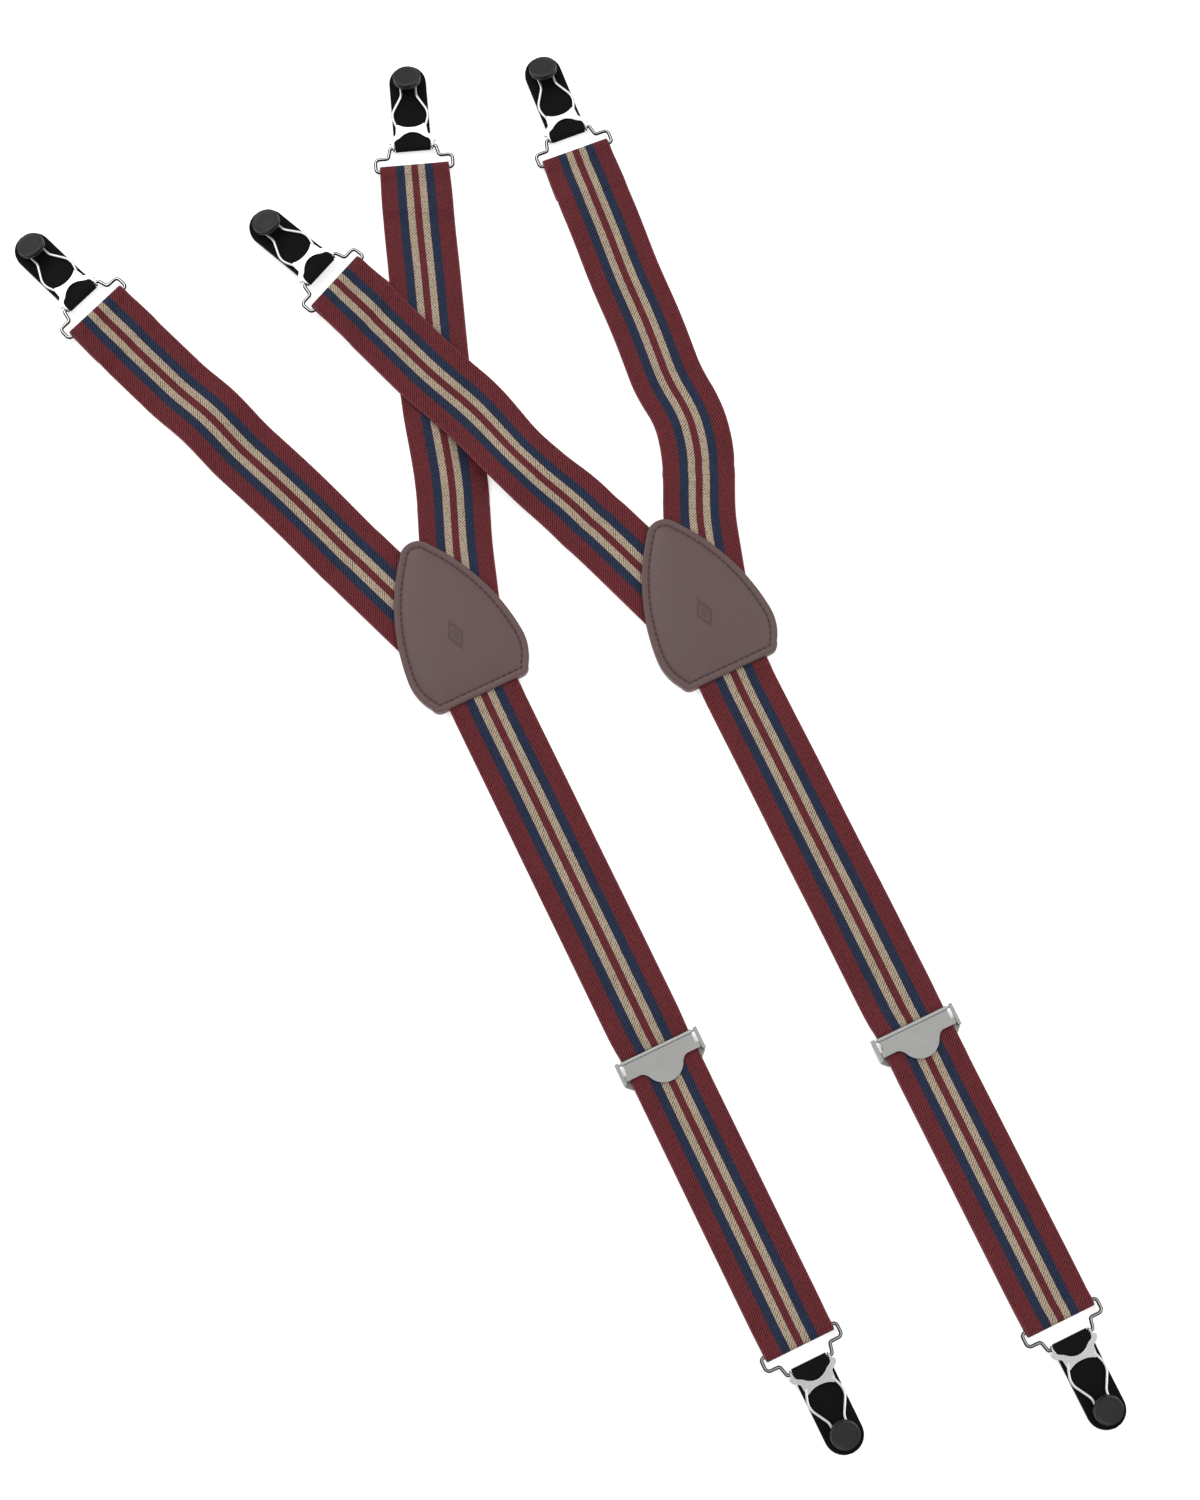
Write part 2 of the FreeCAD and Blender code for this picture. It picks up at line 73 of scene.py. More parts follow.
# these are in millimetres, as every local length is
GRIPPED = 1.95          # height of the webbing's middle inside the patch and the adjuster
EASE = 8.0              # radius of the soft S in which a strap changes its level
PINCH_REACH = 7.0       # distance from a fold at which a little over a third of the narrowing is left
BRANCH_LENGTH = 183.0   # along its middle line, with the hem and the inner end
INNER_END = -21.0       # where the branches are cut off, from the patch's straight edge
STITCH_LEVEL = 3.98     # height of the middle of the stitches
TAB_TOP = 0.15          # heights of the tab's upper and lower layers' middles, from the narrow bar's axis
TAB_BACK = -0.65
BAR_SLEEVE = 0.65       # radius of the hole that the tab leaves round the narrow bar
LOOP_LEVEL = 1.25       # height of the keyhole loop above the narrow bar's axis
STUD_HEAD_LEVEL = 3.72  # height of the foot of the stud head's rim above the same axis


# ---- settings


def length_setting(name, description, default):
    """A size given here in millimetres and kept in metres."""
    return FloatProperty(name=name, description=description, default=default * MM, unit="LENGTH",
                         precision=5)


def colour_setting(name, description, default):
    return FloatVectorProperty(name=name, description=description, default=default, subtype="COLOR",
                               size=3, min=0.0, max=1.0)


class WebbingSettings(bpy.types.PropertyGroup):
    """The striped elastic."""
    width: length_setting("Width", "Width of the main straps", 25.0)
    branch_width: length_setting("Branch Width", "Width of the four branches", 24.5)
    sock_width: length_setting("Sock Strap Width", "Width of the sock straps", 24.2)
    thickness: length_setting("Thickness", "Thickness of one layer", 1.25)
    fold_width: length_setting("Fold Width", "Width where the webbing turns round a bar", 23.8)
    hem: length_setting("Hem", "How far the turned end reaches back behind the strap", 13.0)
    rib_pitch: length_setting("Rib Pitch", "Distance between two ribs of the twill", 0.74)
    burgundy: colour_setting("Burgundy", "Outer bands and centre line", (0.150, 0.0215, 0.0265))
    navy: colour_setting("Navy", "Bands beside the tan ones", (0.0185, 0.030, 0.068))
    tan: colour_setting("Tan", "Two bands beside the centre line", (0.470, 0.375, 0.268))
    selvedge: colour_setting("Selvedge", "Woven edge", (0.205, 0.040, 0.050))


class PatchSettings(bpy.types.PropertyGroup):
    """The leather patch."""
    length: length_setting("Length", "From the nose to the straight edge", 56.3)
    margin: length_setting("Margin", "From the edge to the row of stitches", 2.3)
    stitch_pitch: length_setting("Stitch Pitch", "Distance between two stitches", 2.1)
    puff: length_setting("Puff", "How far the middle stands above the margin", 1.2)
    leather: colour_setting("Leather", "Smooth grain side", (0.092, 0.055, 0.052))
    thread: colour_setting("Thread", "Sewing thread", (0.060, 0.030, 0.028))


class MetalSettings(bpy.types.PropertyGroup):
    """The metal parts."""
    wire_radius: length_setting("Wire Radius", "Hanger wire", 0.6)
    satin: colour_setting("Satin Nickel", "Adjusters", (0.40, 0.40, 0.39))
    bright: colour_setting("Bright Nickel", "Wires and loops", (0.72, 0.72, 0.72))


class ClipSettings(bpy.types.PropertyGroup):
    """The button-and-loop clips."""
    tab_width: length_setting("Tab Width", "Width of the rubber tab", 12.7)
    tab_layer: length_setting("Tab Layer", "Thickness of one layer of the tab", 0.8)
    stud_reach: length_setting("Stud Reach", "From the hanger's bar to the stud", 23.6)
    stud_radius: length_setting("Stud Radius", "Radius of the stud's head", 4.8)
    rubber: colour_setting("Rubber", "Tabs", (0.0035, 0.0035, 0.0038))
    button: colour_setting("Button", "Studs", (0.008, 0.008, 0.0085))


class StageSettings(bpy.types.PropertyGroup):
    """The camera, the floor and the light."""
    lens: FloatProperty(name="Lens", description="Focal length", default=71.5, unit="CAMERA")
    distance: length_setting("Distance", "From the camera to the point it looks at", 983.0)
    tilt: FloatProperty(name="Tilt", description="Camera's lean from straight down",
                        default=math.radians(12.6), subtype="ANGLE")
    target_x: length_setting("Target X", "The point that the camera looks at", 17.519)
    target_y: length_setting("Target Y", "The point that the camera looks at", -9.798)
    floor: colour_setting("Floor", "Pale surface under the pair", (0.93, 0.93, 0.93))
    floor_size: length_setting("Floor Size", "The floor's side", 6000.0)


# ---- places in the frame


def mm(length):
    return length / MM


def joint_point(name):
    return Vector(JOINTS[name]["pos_m"])


def place_at(point, along):
    """A place whose local x runs along a level direction and whose local unit is a millimetre."""
    along = along.normalized()
    side = UP.cross(along)
    turn = Matrix((along, side, UP)).transposed().to_4x4()
    return Matrix.Translation(point) @ turn @ Matrix.Scale(MM, 4)


def main_direction(leg):
    return Vector(JOINTS[f"{leg}_adjuster_slide"]["axis"])


def tip_direction(joint):
    """The level direction that a lifting hinge's free end points in."""
    axis = Vector(joint["axis"])
    return Vector((-axis.y, axis.x, 0))


def bar_place(leg, end, bar):
    """The hanger's wide bar, inside the hem, or its narrow bar, inside the tab."""
    joint = JOINTS[f"{leg}_{end}_{'hanger' if bar == 'wide' else 'tab'}_hinge"]
    return place_at(Vector(joint["pos_m"]), tip_direction(joint))


def hanger_reach(leg, end):
    """The distance between a hanger's two bars, in millimetres."""
    wide, narrow = (joint_point(f"{leg}_{end}_{part}_hinge") for part in ("hanger", "tab"))
    return mm((narrow - wide).length)


def lever_place(leg):
    """The lever's axis, with local x down the strap."""
    return place_at(joint_point(f"{leg}_lever_hinge"), main_direction(leg))


def patch_place(leg):
    """The middle of the patch's straight edge at the surface, with local x down the strap."""
    along = main_direction(leg)
    side = UP.cross(along)
    points = [vertex.co for vertex in frame["nodes"][f"{leg}_patch_lining"].data.vertices]
    reach = max(point.dot(along) for point in points)
    across = [point.dot(side) for point in points]
    middle = (min(across) + max(across)) / 2
    return place_at(along * reach + side * middle, along)


# ---- modelling helpers


def fresh(add, **options):
    """A new primitive, made with nothing else selected."""
    bpy.ops.object.select_all(action="DESELECT")
    add(**options)
    return bpy.context.object


def alone(piece):
    """Makes a piece the active one and the only one selected."""
    bpy.ops.object.select_all(action="DESELECT")
    piece.select_set(True)
    bpy.context.view_layer.objects.active = piece


@contextmanager
def editing(piece, pick=None):
    """Edit mode on one piece, with the faces that pick accepts selected."""
    alone(piece)
    bpy.ops.object.mode_set(mode="EDIT")
    bpy.ops.mesh.select_mode(type="FACE")
    bpy.ops.mesh.select_all(action="SELECT" if pick is None else "DESELECT")
    if pick is not None:
        shape = bmesh.from_edit_mesh(piece.data)
        for face in shape.faces:
            face.select_set(pick(face))
        bmesh.update_edit_mesh(piece.data)
    yield
    bpy.ops.object.mode_set(mode="OBJECT")


def settled(add, **options):
    """A new primitive with its place applied to its mesh."""
    piece = fresh(add, **options)
    bpy.ops.object.transform_apply(location=True, rotation=True, scale=True)
    return piece


def outward(piece):
    """Turns every face of a closed piece outwards."""
    with editing(piece):
        bpy.ops.mesh.normals_make_consistent(inside=False)
    return piece


def finish_with(piece, kind, **settings):
    """Adds a modifier and applies it."""
    alone(piece)
    modifier = piece.modifiers.new(kind.title(), kind)
    for name, value in settings.items():
        setattr(modifier, name, value)
    bpy.ops.object.modifier_apply(modifier=modifier.name)
    return piece


def round_edges(piece, width, segments=3, angle=40):
    return finish_with(piece, "BEVEL", width=width, segments=segments, limit_method="ANGLE",
                       angle_limit=math.radians(angle), harden_normals=False)


def mark_crown(piece):
    """Stores how far each point faces up, so that painted shade can darken the plating on a wire's flanks.
    """
    crown = piece.data.attributes.new("crown", "FLOAT", "POINT")
    for value, vertex in zip(crown.data, piece.data.vertices):
        value.value = vertex.normal.z
    return piece


def cut_sheet(outline, bottom, thick):
    """A flat sheet cut to an outline and given its thickness."""
    piece = fresh(bpy.ops.mesh.primitive_circle_add, vertices=len(outline), radius=1, fill_type="NGON")
    for vertex, (x, y) in zip(piece.data.vertices, outline):
        vertex.co = (x, y, bottom)
    with editing(piece):
        bpy.ops.mesh.extrude_region_move(TRANSFORM_OT_translate={"value": (0, 0, thick)})
        bpy.ops.mesh.select_all(action="SELECT")
        bpy.ops.mesh.normals_make_consistent(inside=False)
    return piece


def flipped(points):
    """The way back along the same points, across the middle line."""
    return [(x, -y) for x, y in reversed(points)]


def mirrored(half):
    """An outline or a path of which one half is given."""
    return half + flipped(half)


def stand_up(piece, start):
    """Turns a sheet that lies in x and y so that it stands in x and z, from y = start on."""
    piece.data.transform(Matrix.Translation((0, start, 0)) @ Matrix(((1, 0, 0, 0), (0, 0, 1, 0),
                                                                     (0, 1, 0, 0), (0, 0, 0, 1))))
    return outward(piece)


def lathe(profile, steps=40):
    """Turns an open profile of (radius, height) about the local z axis."""
    piece = fresh(bpy.ops.mesh.primitive_circle_add, vertices=len(profile), radius=1, fill_type="NOTHING")
    for vertex, (radius, height) in zip(piece.data.vertices, profile):
        vertex.co = (radius, 0, height)
    bpy.ops.object.mode_set(mode="EDIT")
    shape = bmesh.from_edit_mesh(piece.data)
    last = len(profile) - 1
    for edge in list(shape.edges):
        if {vertex.index for vertex in edge.verts} == {0, last}:
            shape.edges.remove(edge)
    bmesh.update_edit_mesh(piece.data)
    bpy.ops.mesh.select_all(action="SELECT")
    bpy.ops.mesh.spin(steps=steps, angle=math.tau, center=(0, 0, 0), axis=(0, 0, 1))
    bpy.ops.mesh.select_all(action="SELECT")
    bpy.ops.mesh.remove_doubles(threshold=1e-4)
    bpy.ops.mesh.dissolve_degenerate()
    bpy.ops.mesh.select_all(action="SELECT")
    bpy.ops.mesh.normals_make_consistent(inside=False)
    bpy.ops.object.mode_set(mode="OBJECT")
    return piece


def rod(x, z, radius, half_length, sides=32):
    """A round bar across the piece with softened ends."""
    piece = settled(bpy.ops.mesh.primitive_cylinder_add, vertices=sides, radius=radius,
                    depth=half_length * 2, location=(x, 0, z), rotation=(math.pi / 2, 0, 0))
    return round_edges(piece, radius * 0.3, 2)


def rounded(points, radii, closed=False, steps=8):
    """The points of a path whose corners are arcs of the given radii."""
    points = [Vector(point) for point in points]
    total = len(points)
    path = [] if closed else [points[0]]
    for order, number in enumerate(range(total) if closed else range(1, total - 1)):
        here = points[number]
        back = (points[number - 1] - here).normalized()
        ahead = (points[(number + 1) % total] - here).normalized()
        half = back.angle(ahead) / 2
        trim = radii[order] / math.tan(half)
        middle = (back + ahead).normalized()
        centre = here + middle * (radii[order] / math.sin(half))
        start = here + back * trim - centre
        end = here + ahead * trim - centre
        path += [centre + start.slerp(end, step / steps).normalized() * radii[order]
                 for step in range(steps + 1)]
    return path if closed else path + [points[-1]]


def bent_wire(path, radius, closed=False, flat=1.0):
    """A round wire along a path; flat squeezes it in height."""
    curve = bpy.data.curves.new("wire", "CURVE")
    curve.dimensions = "3D"
    line = curve.splines.new("POLY")
    line.points.add(len(path) - 1)
    for point, place in zip(line.points, path):
        point.co = (*place, 1)
    line.use_cyclic_u = closed
    curve.bevel_depth = radius
    curve.bevel_resolution = 4
    curve.use_fill_caps = True
    piece = bpy.data.objects.new("wire", curve)
    bpy.context.scene.collection.objects.link(piece)
    alone(piece)
    bpy.ops.object.convert(target="MESH")
    piece = bpy.context.object
    level = path[0].z
    for vertex in piece.data.vertices:
        vertex.co.z = level + (vertex.co.z - level) * flat
    return outward(piece)


def softened(outline, rounds=2):
    """Cuts the corners of a closed outline again and again until it is a smooth curve."""
    for _ in range(rounds):
        cut = []
        for number, (x, y) in enumerate(outline):
            next_x, next_y = outline[(number + 1) % len(outline)]
            cut += [(x * 0.75 + next_x * 0.25, y * 0.75 + next_y * 0.25),
                    (x * 0.25 + next_x * 0.75, y * 0.25 + next_y * 0.75)]
        outline = cut
    return outline


def joined(*parts):
    alone(parts[0])
    for part in parts[1:]:
        part.select_set(True)
    bpy.ops.object.join()
    return bpy.context.object


def complete(piece, name, finish, nodes, angle=35, flat=False):
    """Names a placed piece, smooths it, paints it and lets it stand for its CAD nodes."""
    piece.name = name
    piece.data.name = name
    alone(piece)
    bpy.ops.object.shade_smooth_by_angle(angle=math.radians(angle))
    if flat:
        finish_with(piece, "WEIGHTED_NORMAL", keep_sharp=True, weight=100)
    piece.data.materials.clear()
    piece.data.materials.append(finish)
    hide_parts(*nodes)


def set_out(master, place, name, finish, node, body, angle=35, flat=False):
    """Puts a copy of a part in its place, for one CAD node, and lets it ride on one body."""
    piece = master.copy()
    piece.data = master.data.copy()
    bpy.context.scene.collection.objects.link(piece)
    piece.data.transform(place)
    complete(piece, name, finish, [node], angle, flat)
    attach(piece, body)


def discard(*masters):
    for master in masters:
        bpy.data.objects.remove(master)


# ---- straps and tongues


class Route:
    """The centre line of a band, followed from one end: where it is, its way and its upper side."""

    def __init__(self, at, way=(1, 0, 0), up=(0, 0, 1), step=1.0):
        self.at = Vector(at)
        self.way = Vector(way)
        self.up = Vector(up)
        self.step = step
        self.gone = 0.0
        self.stations = []
        self.mark()

    def mark(self):
        self.stations.append([self.at.copy(), self.way.copy(), self.up.copy(), self.gone])

    def run(self, length, step=None):
        parts = max(1, round(length / (step or self.step)))
        for _ in range(parts):
            self.at += self.way * (length / parts)
            self.gone += length / parts
            self.mark()
        return self

    def turn(self, axis, centre, angle, radius, part=10):
        parts = max(2, math.ceil(abs(math.degrees(angle)) / part))
        twist = Matrix.Rotation(angle / parts, 3, axis)
        for _ in range(parts):
            self.at = centre + twist @ (self.at - centre)
            self.way = twist @ self.way
            self.up = twist @ self.up
            self.gone += radius * abs(angle) / parts
            self.mark()
        return self

    def fold(self, radius, degrees):
        """Turns towards the upper side, or away from it if degrees is negative."""
        sign = 1 if degrees > 0 else -1
        axis = self.way.cross(self.up)
        return self.turn(axis, self.at + self.up * (radius * sign), math.radians(degrees), radius)

    def bend(self, radius, degrees):
        """Turns flat on the surface, to the left if degrees is positive."""
        left = UP.cross(self.way).normalized() * (1 if degrees > 0 else -1)
        return self.turn(UP.copy(), self.at + left * radius, math.radians(degrees), radius, part=1.5)

    def reach_level(self, level, radius=EASE):
        """Climbs or sinks to a level in one soft S."""
        change = level - self.at.z
        if abs(change) < 1e-6:
            return self
        angle = math.degrees(math.acos(1 - abs(change) / (2 * radius)))
        towards_up = 1 if (change > 0) == (self.up.z > 0) else -1
        self.fold(radius, angle * towards_up)
        return self.fold(radius, -angle * towards_up)

    def wave(self, middle, length, rise, sway=0.0, roll=0.0):
        """Lifts, shifts and rolls a stretch of the strap, as elastic does that lies loosely."""
        for station in self.stations:
            share = (station[3] - middle) / length
            if abs(share) < 0.5:
                weight = math.cos(share * math.pi) ** 2
                left = UP.cross(station[1])
                station[0] += UP * (rise * weight) + left * (sway * weight)
                station[2] = Matrix.Rotation(math.radians(roll * weight), 3, station[1]) @ station[2]
        return self


def band(route, half_width, thick, columns, edge):
    """A flat band along a route. Its UV map holds the distance along and the share across."""
    rows = len(route.stations)
    piece = fresh(bpy.ops.mesh.primitive_grid_add, x_subdivisions=rows - 1, y_subdivisions=columns, size=1)
    cloth = piece.data
    marks = []
    for vertex in cloth.vertices:
        at, way, up, gone = route.stations[round((vertex.co.x + 0.5) * (rows - 1))]
        share = vertex.co.y
        marks.append((gone, share + 0.5))
        vertex.co = at + up.cross(way) * (share * 2 * half_width(gone))
    for loop, corner in zip(cloth.loops, cloth.uv_layers.active.data):
        corner.uv = marks[loop.vertex_index]
    finish_with(piece, "SOLIDIFY", thickness=thick, offset=0.0, use_even_offset=True, use_rim=True)
    return round_edges(piece, edge, 3, 50)


def webbing_width(settings, width, fold_at):
    """Half the strap's width along it: it is pulled in a little where it turns round a bar."""
    full = mm(width) / 2
    pinch = full - mm(settings.fold_width) / 2

    def half(gone):
        return full - pinch * math.exp(-((gone - fold_at) / PINCH_REACH) ** 2)

    return half


def hemmed_end(settings):
    """A route from a strap's turned end, round the wide bar at the local origin and back over it."""
    layer = mm(settings.thickness)
    wrap = mm(bpy.context.scene.stays_metal.wire_radius) + layer / 2
    route = Route((-mm(settings.hem), 0, -wrap), up=(0, 0, -1))
    route.run(mm(settings.hem))
    fold_at = route.gone + wrap * math.pi / 2
    route.fold(wrap, -180)
    route.reach_level(0.0, 5.0)
    route.run(mm(settings.hem) + route.at.x)
    return route, fold_at


def branch_route(settings, leg, end):
    """One branch, from its hem to the inside of the patch, in the wide bar's place."""
    bar = joint_point(f"{leg}_{end}_hanger_hinge").z / MM
    route, fold_at = hemmed_end(settings)
    lying = mm(settings.thickness) / 2 - bar
    if (leg, end) == ("right", "front"):
        route.reach_level(2.15 - bar).run(2.0).bend(200.0, -4.9).run(49.0)
        route.reach_level(lying, 30.0).run(18.0)
    elif (leg, end) == ("left", "front"):
        route.reach_level(lying, 6.0).run(102.0)
    elif (leg, end) == ("left", "rear"):
        route.reach_level(lying, 6.0).run(20.0).bend(380.0, 2.1).run(66.0)
    else:
        route.reach_level(lying, 6.0).run(76.0).bend(52.0, -12.5).run(12.0)
    route.reach_level(GRIPPED - bar)
    route.run(BRANCH_LENGTH - route.gone)
    return route, fold_at


def trimmed(piece, place, leg, end):
    """Cuts a branch off inside the patch, along the patch's middle and short of the main strap."""
    patch = patch_place(leg)
    turn = patch.to_3x3().normalized()
    side = 1 if end == "rear" else -1
    for spot, way in (((INNER_END, 0, 0), (1, 0, 0)), ((0, 0.1 * side, 0), (0, -side, 0))):
        with editing(piece):
            bpy.ops.mesh.bisect(plane_co=place.inverted() @ patch @ Vector(spot),
                                plane_no=place.to_3x3().normalized().inverted() @ turn @ Vector(way),
                                use_fill=True, clear_outer=True)


# one row is one wave: its middle and length along the route, its lift, its shift and its roll
STRAP_WAVES = {
    ("left", "front"): ((72.0, 36.0, 2.6, 0.5), (112.0, 76.0, 0.8, 0.5)),
    ("left", "rear"): ((60.0, 50.0, 0.5, 0.4), (96.0, 40.0, 0.4, -0.2), (130.0, 56.0, 0.1, 1.1)),
    ("right", "front"): ((56.0, 84.0, 0.3, -2.2), (104.0, 60.0, 3.2, -2.5, -14.0), (138.0, 30.0, 0.8, -0.3)),
    ("right", "rear"): ((42.0, 44.0, 1.4, 0.1), (84.0, 44.0, 0.9, 0.3), (130.0, 60.0, 1.2, 3.0)),
}


def lay_strap(settings, name, nodes, finish, route, width, fold_at, place, cut=None):
    """Makes a strap from its route, cuts a branch short if asked and puts it in its place."""
    layer = mm(settings.thickness)
    piece = band(route, webbing_width(settings, width, fold_at), layer, 10, layer * 0.36)
    if cut:
        trimmed(piece, place, *cut)
    piece.data.transform(place)
    complete(piece, name, finish, nodes, 60)
    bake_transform(piece)


def lay_branch(settings, leg, end, finish):
    route, fold_at = branch_route(settings, leg, end)
    for wave in STRAP_WAVES[leg, end]:
        route.wave(*wave)
    place = bar_place(leg, end, "wide")
    lay_strap(settings, f"{leg}_{end}_webbing", [f"{leg}_{end}_strap", f"{leg}_{end}_hem"], finish, route,
              settings.branch_width, fold_at, place,
              (leg, end))


def adjuster_offset(leg):
    """How far down the strap from the patch's straight edge the lever's axis is, in millimetres."""
    return (patch_place(leg).inverted() @ joint_point(f"{leg}_lever_hinge")).x


def lay_main_strap(settings, leg, finish):
    """The main strap, from inside the patch to under the adjuster's lever."""
    lying = mm(settings.thickness) / 2
    end = adjuster_offset(leg) + 2.0
    route = Route((-22.0, 0, GRIPPED)).run(22.5).reach_level(lying)
    route.run(end - 9.0 - route.at.x).reach_level(GRIPPED)      # up into the adjuster
    route.run(end - route.at.x)
    route.wave(60.0, 46.0, 0.5).wave(112.0, 50.0, 0.6)
    place = patch_place(leg)
    lay_strap(settings, f"{leg}_main_webbing", [f"{leg}_main_strap"], finish, route, settings.width,
              route.gone, place)


def lay_sock_strap(settings, leg, finish):
    """The return run, the turn round the sock hanger's bar and the front run above it."""
    place = patch_place(leg)
    layer = mm(settings.thickness)
    axis = adjuster_offset(leg)
    bar = place.inverted() @ joint_point(f"{leg}_sock_hanger_hinge")
    wrap = bar.z - layer / 2
    route = Route((axis + 5.2, 0, 1.3), up=(0, 0, -1)).run(5.5).reach_level(layer / 2)
    route.run(bar.x - route.at.x)
    fold_at = route.gone + wrap * math.pi / 2
    route.fold(wrap, -180)
    route.reach_level(bar.z, 5.0)
    # over the return run, then down again into the adjuster
    route.run(route.at.x - axis - 18.0).reach_level(2.6)
    route.run(route.at.x - axis - 7.2).reach_level(GRIPPED)
    route.run(max(0.2, route.at.x - axis - 2.0), 0.5)
    lay_strap(settings, f"{leg}_sock_webbing", [f"{leg}_sock_strap", f"{leg}_sock_hem"], finish, route,
              settings.sock_width, fold_at, place)


def tab_route(settings):
    """The rubber strip, from its upper tip back round the narrow bar and forward underneath."""
    layer = mm(settings.tab_layer)
    tip = mm(settings.stud_reach) + mm(settings.tab_width) / 2
    round_tip = mm(settings.tab_width) / 2
    wrap = BAR_SLEEVE + layer / 2
    route = Route((tip, 0, TAB_TOP), way=(-1, 0, 0), up=(0, 0, 1))
    route.run(round_tip, 0.3).run(tip - round_tip - 7.0).reach_level(wrap, 6.0)
    route.run(max(0.1, route.at.x))
    fold_at = route.gone + wrap * math.pi / 2
    route.fold(wrap, -180)
    route.reach_level(TAB_BACK, 6.0)
    route.run(tip - round_tip - route.at.x).run(round_tip, 0.3)
    return route, fold_at


def tab_half_width(settings, route, fold_at):
    half = mm(settings.tab_width) / 2

    def width(gone):
        from_end = min(gone, route.gone - gone)
        if from_end < half:
            return max(0.25, math.sqrt(max(0.0, half ** 2 - (half - from_end) ** 2)))
        return half - 0.4 * math.exp(-((gone - fold_at) / 2.5) ** 2)

    return width


# ---- the patch's outline


def arc(start, end, radius, steps):
    """Points from start to just before end on an arc that bulges to the right of the way."""
    start = Vector(start)
    end = Vector(end)
    half = (end - start) / 2
    out = Vector((half.y, -half.x)).normalized()
    centre = start + half - out * math.sqrt(radius ** 2 - half.length_squared)
    first = start - centre
    sweep = first.angle_signed(end - centre)
    return [tuple(centre + Matrix.Rotation(-sweep * step / steps, 2) @ first) for step in range(steps)]


def patch_outline(length):
    """The patch's edge, in order, from the nose round to the nose again."""
    shoulder = (2.4 - length, 5.6)
    widest = (42.0 - length, 20.8)
    foot = (-2.6, 17.6)
    heel = (0.0, 14.6)
    half = arc(heel, foot, 3.1, 7) + arc(foot, widest, 18.0, 10) + arc(widest, shoulder, 74.0, 24)
    nose = arc(shoulder, (shoulder[0], -shoulder[1]), 6.3, 12)
    return half + nose + flipped(half + [shoulder])


def inset_outline(outline, margin, pitch):
    """Evenly spaced (point, way) pairs on a line that runs inside an outline."""
    points = [Vector(point) for point in outline]
    total = len(points)
    inner = []
    for number, here in enumerate(points):
        way = (points[(number + 1) % total] - points[number - 1]).normalized()
        inner.append(here + Vector((-way.y, way.x)) * margin)
    if sum(point.x for point in inner) / total > 0:
        raise RuntimeError("the patch's outline runs the wrong way round")
    around = sum((inner[number] - inner[number - 1]).length for number in range(total))
    count = round(around / pitch)
    spots = []
    walked = 0.0
    for number in range(total):
        start, end = inner[number - 1], inner[number]
        span = (end - start).length
        while len(spots) < count and walked + span > len(spots) * around / count:
            share = (len(spots) * around / count - walked) / span
            spots.append((start.lerp(end, share), (end - start).normalized()))
        walked += span
    return spots


# ---- shader building


class Graph:
    """A small help for wiring nodes: numbers, colours and sockets go in alike."""

    def __init__(self, tree):
        self.tree = tree

    def node(self, kind, inputs=None, **settings):
        made = self.tree.nodes.new(kind)
        for name, value in settings.items():
            setattr(made, name, value)
        for name, value in (inputs or {}).items():
            self.feed(made.inputs[name], value)
        return made

    def feed(self, socket, value):
        if isinstance(value, bpy.types.NodeSocket):
            self.tree.links.new(value, socket)
        else:
            socket.default_value = value

    def math(self, operation, first, second=0.0, third=0.0):
        made = self.node("ShaderNodeMath", {0: first, 1: second, 2: third}, operation=operation)
        return made.outputs[0]

    def mix(self, share, first, second, blend="MIX"):
        made = self.tree.nodes.new("ShaderNodeMix")
        made.data_type = "RGBA"
        made.blend_type = blend
        self.feed(made.inputs[0], share)
        self.feed(made.inputs[6], first)
        self.feed(made.inputs[7], second)
        return made.outputs[2]

    def spread(self, value, low, high, to_low=0.0, to_high=1.0):
        made = self.node("ShaderNodeMapRange", {0: value, 1: low, 2: high, 3: to_low, 4: to_high})
        return made.outputs[0]

    def wander(self, noise, low, high):
        """Spreads the usual range of a noise texture over two values."""
        return self.spread(noise, 0.3, 0.7, low, high)


def new_group(name, inputs, outputs):
    """A shader node group with named sockets; returns its tree, its graph and its two end nodes."""
    tree = bpy.data.node_groups.new(name, "ShaderNodeTree")
    for socket, kind, default in inputs:
        made = tree.interface.new_socket(socket, in_out="INPUT", socket_type=kind)
        if default is not None:
            made.default_value = default
    for socket, kind in outputs:
        tree.interface.new_socket(socket, in_out="OUTPUT", socket_type=kind)
    graph = Graph(tree)
    return tree, graph, graph.node("NodeGroupInput"), graph.node("NodeGroupOutput")


def speckle_group():
    """Fine and broad unevenness that every finish has a little of."""
    tree, graph, given, result = new_group(
        UNEVENNESS,
        [("Fine Size", "NodeSocketFloat", 0.4 * MM), ("Broad Size", "NodeSocketFloat", 9.0 * MM)],
        [("Fine", "NodeSocketFloat"), ("Broad", "NodeSocketFloat")])
    spot = graph.node("ShaderNodeTexCoord").outputs["Object"]
    for name, detail in (("Fine", 3.0), ("Broad", 4.0)):
        scale = graph.math("DIVIDE", 1.0, given.outputs[f"{name} Size"])
        noise = graph.node("ShaderNodeTexNoise", {"Vector": spot, "Scale": scale, "Detail": detail})
        graph.feed(result.inputs[name], noise.outputs[0])
    return tree


